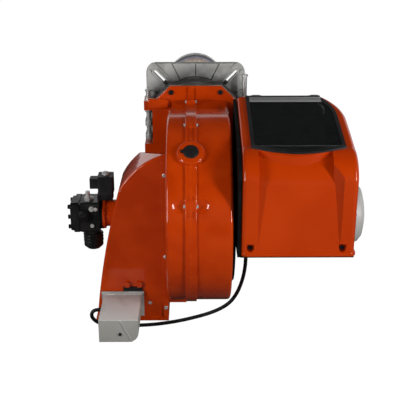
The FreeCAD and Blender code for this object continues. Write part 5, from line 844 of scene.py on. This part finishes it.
# Damper servo: a light grey moulded cover with a well rounded lower corner, a raised line across its
# rear face, a sunk screw and a lip where it meets its cast base. Its top is painted lighter, as light
# from above would leave it, and it is dusty.
cover_low, cover_high = (-0.2480, -0.4830, -0.4840), (-0.1470, -0.3370, -0.4210)
low_corner, high_corner = 0.026, 0.007
screw_x, screw_z, screw_hole = -0.1940, -0.4610, 0.0047
hole_rear, hole_front = -0.4860, -0.4757
ridge_start = Vector((-0.1940, -0.4828, -0.4225))
ridge_run, ridge_radius = Vector((0.0297, 0, -0.0600)), 0.0017
lip_low, lip_high = (-0.2500, -0.3420, -0.4850), (-0.1450, -0.3372, -0.4195)
cover = block("servo_cover", cover_low, cover_high)
middle = middle_of(cover_low, cover_high)
bevel_edges(cover, low_corner, lambda a, b: runs_back(a, b) and a.x > middle.x and a.z < middle.z, 8)
bevel_edges(cover, high_corner, lambda a, b: runs_back(a, b) and a.x > middle.x and a.z > middle.z, 5)
soften(cover, 0.0016, 3)
combine(cover, rod("hole", (screw_x, hole_rear, screw_z), (screw_x, hole_front, screw_z), screw_hole, 24))
ridge = rod("ridge", ridge_start, ridge_start + ridge_run, ridge_radius, 12)
lip = block("lip", lip_low, lip_high)
soften(lip, 0.0010, 3)
servo_grey, tree, shader = new_material("servo_grey_plastic", (0.43, 0.42, 0.39), 0.42)
skin = group_in(tree, grain, scale=1300, wave_scale=18, depth=0.00006, wave_depth=0.0002)
# Painted light: the cover turns lighter where it faces up, as if lit from above.
upwards = vector_part(tree, tree.nodes.new("ShaderNodeNewGeometry").outputs["Normal"], "Z")
top_lit_grey = blotches(tree, upwards, 0.2, 0.8, (0.33, 0.325, 0.30), (0.62, 0.62, 0.60))
dusty = ramp(tree, object_noise(tree, 22, 5), 0.52, 0.75, 0, 0.35)
dust_and_top_light = mix_colours(tree, dusty, top_lit_grey, (0.30, 0.28, 0.25))
rubbed = group_in(tree, wear, radius=0.0018, amount=1.0)
feed(tree, shader,
     base_color=mix_colours(tree, rubbed.outputs["Mask"], dust_and_top_light, (0.80, 0.79, 0.76)),
     roughness=ramp(tree, skin.outputs["Mask"], 0.3, 0.7, 0.36, 0.5),
     normal=skin.outputs["Normal"])
fit(join("servo_cover", [ridge, lip, cover]), servo_grey, "burner_body", "servo_grey", "servo_housing")
dress(cast, "servo_base")

# Motor: a die-cast finned housing and a pressed fan cowl, in light grey paint that has gone matt.
# The housing is bolted to the motor plate, and the cooling fan runs inside the cowl.
motor_grey, tree, shader = new_material("motor_grey_paint", (0.46, 0.46, 0.45), 0.4)
skin = group_in(tree, grain, scale=600, wave_scale=20, depth=0.00012, wave_depth=0.0003)
tone = blotches(tree, skin.outputs["Mask"], 0.35, 0.65, (0.44, 0.44, 0.43), (0.50, 0.50, 0.49))
chipped = group_in(tree, wear, radius=0.0012, amount=0.5)
feed(tree, shader,
     base_color=mix_colours(tree, chipped.outputs["Mask"], tone, (0.22, 0.21, 0.20)),
     roughness=ramp(tree, skin.outputs["Mask"], 0.3, 0.7, 0.34, 0.5),
     normal=skin.outputs["Normal"])
dress(motor_grey, "motor_housing", "motor_cowl", "cooling_fan")

# Cowl rings: three round beads that stiffen the end of the fan cowl about its air intake.
# They are pressed into the cowl's sheet and painted with it.
ring_radii, ring_bead = (0.022, 0.034, 0.046), 0.0016
motor_end = (0.4420, -0.250, -0.221)
rings = []
for radius in ring_radii:
    bpy.ops.object.select_all(action="DESELECT")
    bpy.ops.mesh.primitive_torus_add(major_radius=radius, minor_radius=ring_bead, major_segments=64,
                                     minor_segments=8, location=motor_end,
                                     rotation=(0, math.radians(90), 0))
    settle_place()
    rings.append(bpy.context.object)
fit(join("cowl_rings", rings), motor_grey, "burner_body", "motor_grey")

# Hood liner: a sheet of steel in black powder paint with a folded foot and one round corner.
# It closes the front of the hood's opening behind the controls.
liner_low, liner_high = (0.1125, -0.1865, 0.0005), (0.3400, -0.1835, 0.0660)
foot_low, foot_high = (0.1125, -0.1990, 0.0005), (0.3400, -0.1840, 0.0025)
liner_corner = 0.030
liner = block("hood_front_liner", liner_low, liner_high)
middle = middle_of(liner_low, liner_high)
bevel_edges(liner, liner_corner, lambda a, b: runs_back(a, b) and a.x > middle.x and a.z > middle.z, 6)
combine(liner, block("foot", foot_low, foot_high), "UNION")
soften(liner, 0.0006)
fit(liner, powder, "burner_body", "black_metal")

# Lid rail: a glossy grey plastic strip, moulded to the slope of the lid; its light grey is a painted
# reflection of the sweep, on top of its own gloss.
# It is glued along the lid's far edge and turns with it.
rail_low, rail_high = (0.1405, -0.2130, 0.0700), (0.3330, -0.1925, 0.0832)
rail_front_foot, rail_rear_top = 0.0745, 0.0778
rail_slope, rail_corner = 0.004, 0.010
painted_reflection_grey, tree, shader = new_material("grey_plastic_painted_reflection", (0.13, 0.13, 0.132), 0.14)
# Painted reflection: the strip's light grey stands for the sweep mirrored along the lid's far edge.
feed(tree, shader,
     base_color=mix_colours(tree, object_noise(tree, 60, 4), (0.20, 0.20, 0.202), (0.26, 0.26, 0.262)),
     roughness=ramp(tree, object_noise(tree, 90, 3), 0.3, 0.7, 0.10, 0.20))
rail = block("lid_rail", rail_low, rail_high)
middle = middle_of(rail_low, rail_high)
for point in rail.data.vertices:
    on_top, to_front = point.co.z > middle.z, point.co.y > middle.y
    if on_top and not to_front:
        point.co.z = rail_rear_top
    elif to_front and not on_top:
        point.co.z = rail_front_foot
bevel_edges(rail, rail_corner,
            lambda a, b: abs(a.z - b.z) > rail_slope and a.x > middle.x and a.y > middle.y, 4)
soften(rail, 0.0010, 3)
fit(rail, painted_reflection_grey, "lid", "black_plastic")

# Window lid and sight glass: a moulded lid of smoked acrylic, nearly black where it is seen at a slant,
# and a clear round pane behind the sight cap, held in its boss.
smoked, tree, shader = new_material("smoked_acrylic", (0.045, 0.05, 0.05), 0.05)
shader.inputs["Transmission Weight"].default_value = 0.85
shader.inputs["IOR"].default_value = 1.49
haze = object_noise(tree, 35, 4)
feed(tree, shader,
     base_color=blotches(tree, haze, 0.45, 0.7, (0.045, 0.05, 0.05), (0.032, 0.036, 0.036)),
     roughness=ramp(tree, haze, 0.4, 0.75, 0.03, 0.10))
dress(smoked, "window_lid")
glass, tree, shader = new_material("sight_glass_clear", (0.85, 0.90, 0.88), 0.02)
shader.inputs["Transmission Weight"].default_value = 1.0
feed(tree, shader, roughness=ramp(tree, object_noise(tree, 200, 4), 0.5, 0.8, 0.02, 0.15))
dress(glass, "sight_glass")

# Reset button and its collar: a red plastic button with the polish of much use, in a ring of black
# plastic that is snapped into the control deck and keeps it from being pressed by mistake.
button_x, button_y, deck_top = 0.322, -0.300, 0.0022
collar_top, collar_radius, collar_bore = 0.0070, 0.0125, 0.0088
red, tree, shader = new_material("button_red", (0.45, 0.015, 0.012), 0.3)
feed(tree, shader, base_color=blotches(tree, object_noise(tree, 300, 3), 0.45, 0.7,
                                       (0.48, 0.016, 0.012), (0.34, 0.012, 0.010)))
dress(red, "reset_button")
collar = rod("button_collar", (button_x, button_y, deck_top), (button_x, button_y, collar_top),
             collar_radius, 40)
combine(collar, rod("bore", (button_x, button_y, deck_top - cut_past),
                    (button_x, button_y, collar_top + cut_past), collar_bore, 40))
soften(collar, 0.0008)
fit(collar, plastic, "burner_body", "black_plastic")

# Terminal strip: a bar of black moulded plastic on the control deck with seven wells, and a slotted,
# zinc-plated clamping screw in each of them.
strip_low, strip_high = (0.232, -0.305, deck_top), (0.248, -0.215, 0.0160)
terminal_x, first_terminal, terminal_step, terminal_count = 0.240, -0.223, 0.0125, 7
well_low, well_high, well_radius = 0.012, 0.02, 0.0034
clamp_low, clamp_high, clamp_radius = 0.0105, 0.0135, 0.0028
slit_floor, slit_open, slit_half, slit_side = 0.0128, 0.0140, 0.0035, 0.0004
strip = block("terminal_strip", strip_low, strip_high)
soften(strip, 0.0008)
screws = []
for number in range(terminal_count):
    across = first_terminal - terminal_step * number
    combine(strip, rod("well", (terminal_x, across, well_low), (terminal_x, across, well_high),
                       well_radius, 16))
    screw = rod("terminal_screw", (terminal_x, across, clamp_low), (terminal_x, across, clamp_high),
                clamp_radius, 16)
    combine(screw, block("slit", (terminal_x - slit_half, across - slit_side, slit_floor),
                         (terminal_x + slit_half, across + slit_side, slit_open)))
    screws.append(screw)
fit(strip, plastic, "burner_body", "black_plastic")
fit(join("terminal_screws", screws), zinc, "burner_body", "zinc_screws")

# Finish: colours are shown as they are, and the box of the finished piece is measured.
bpy.context.scene.view_settings.view_transform = "Standard"
low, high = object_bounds()
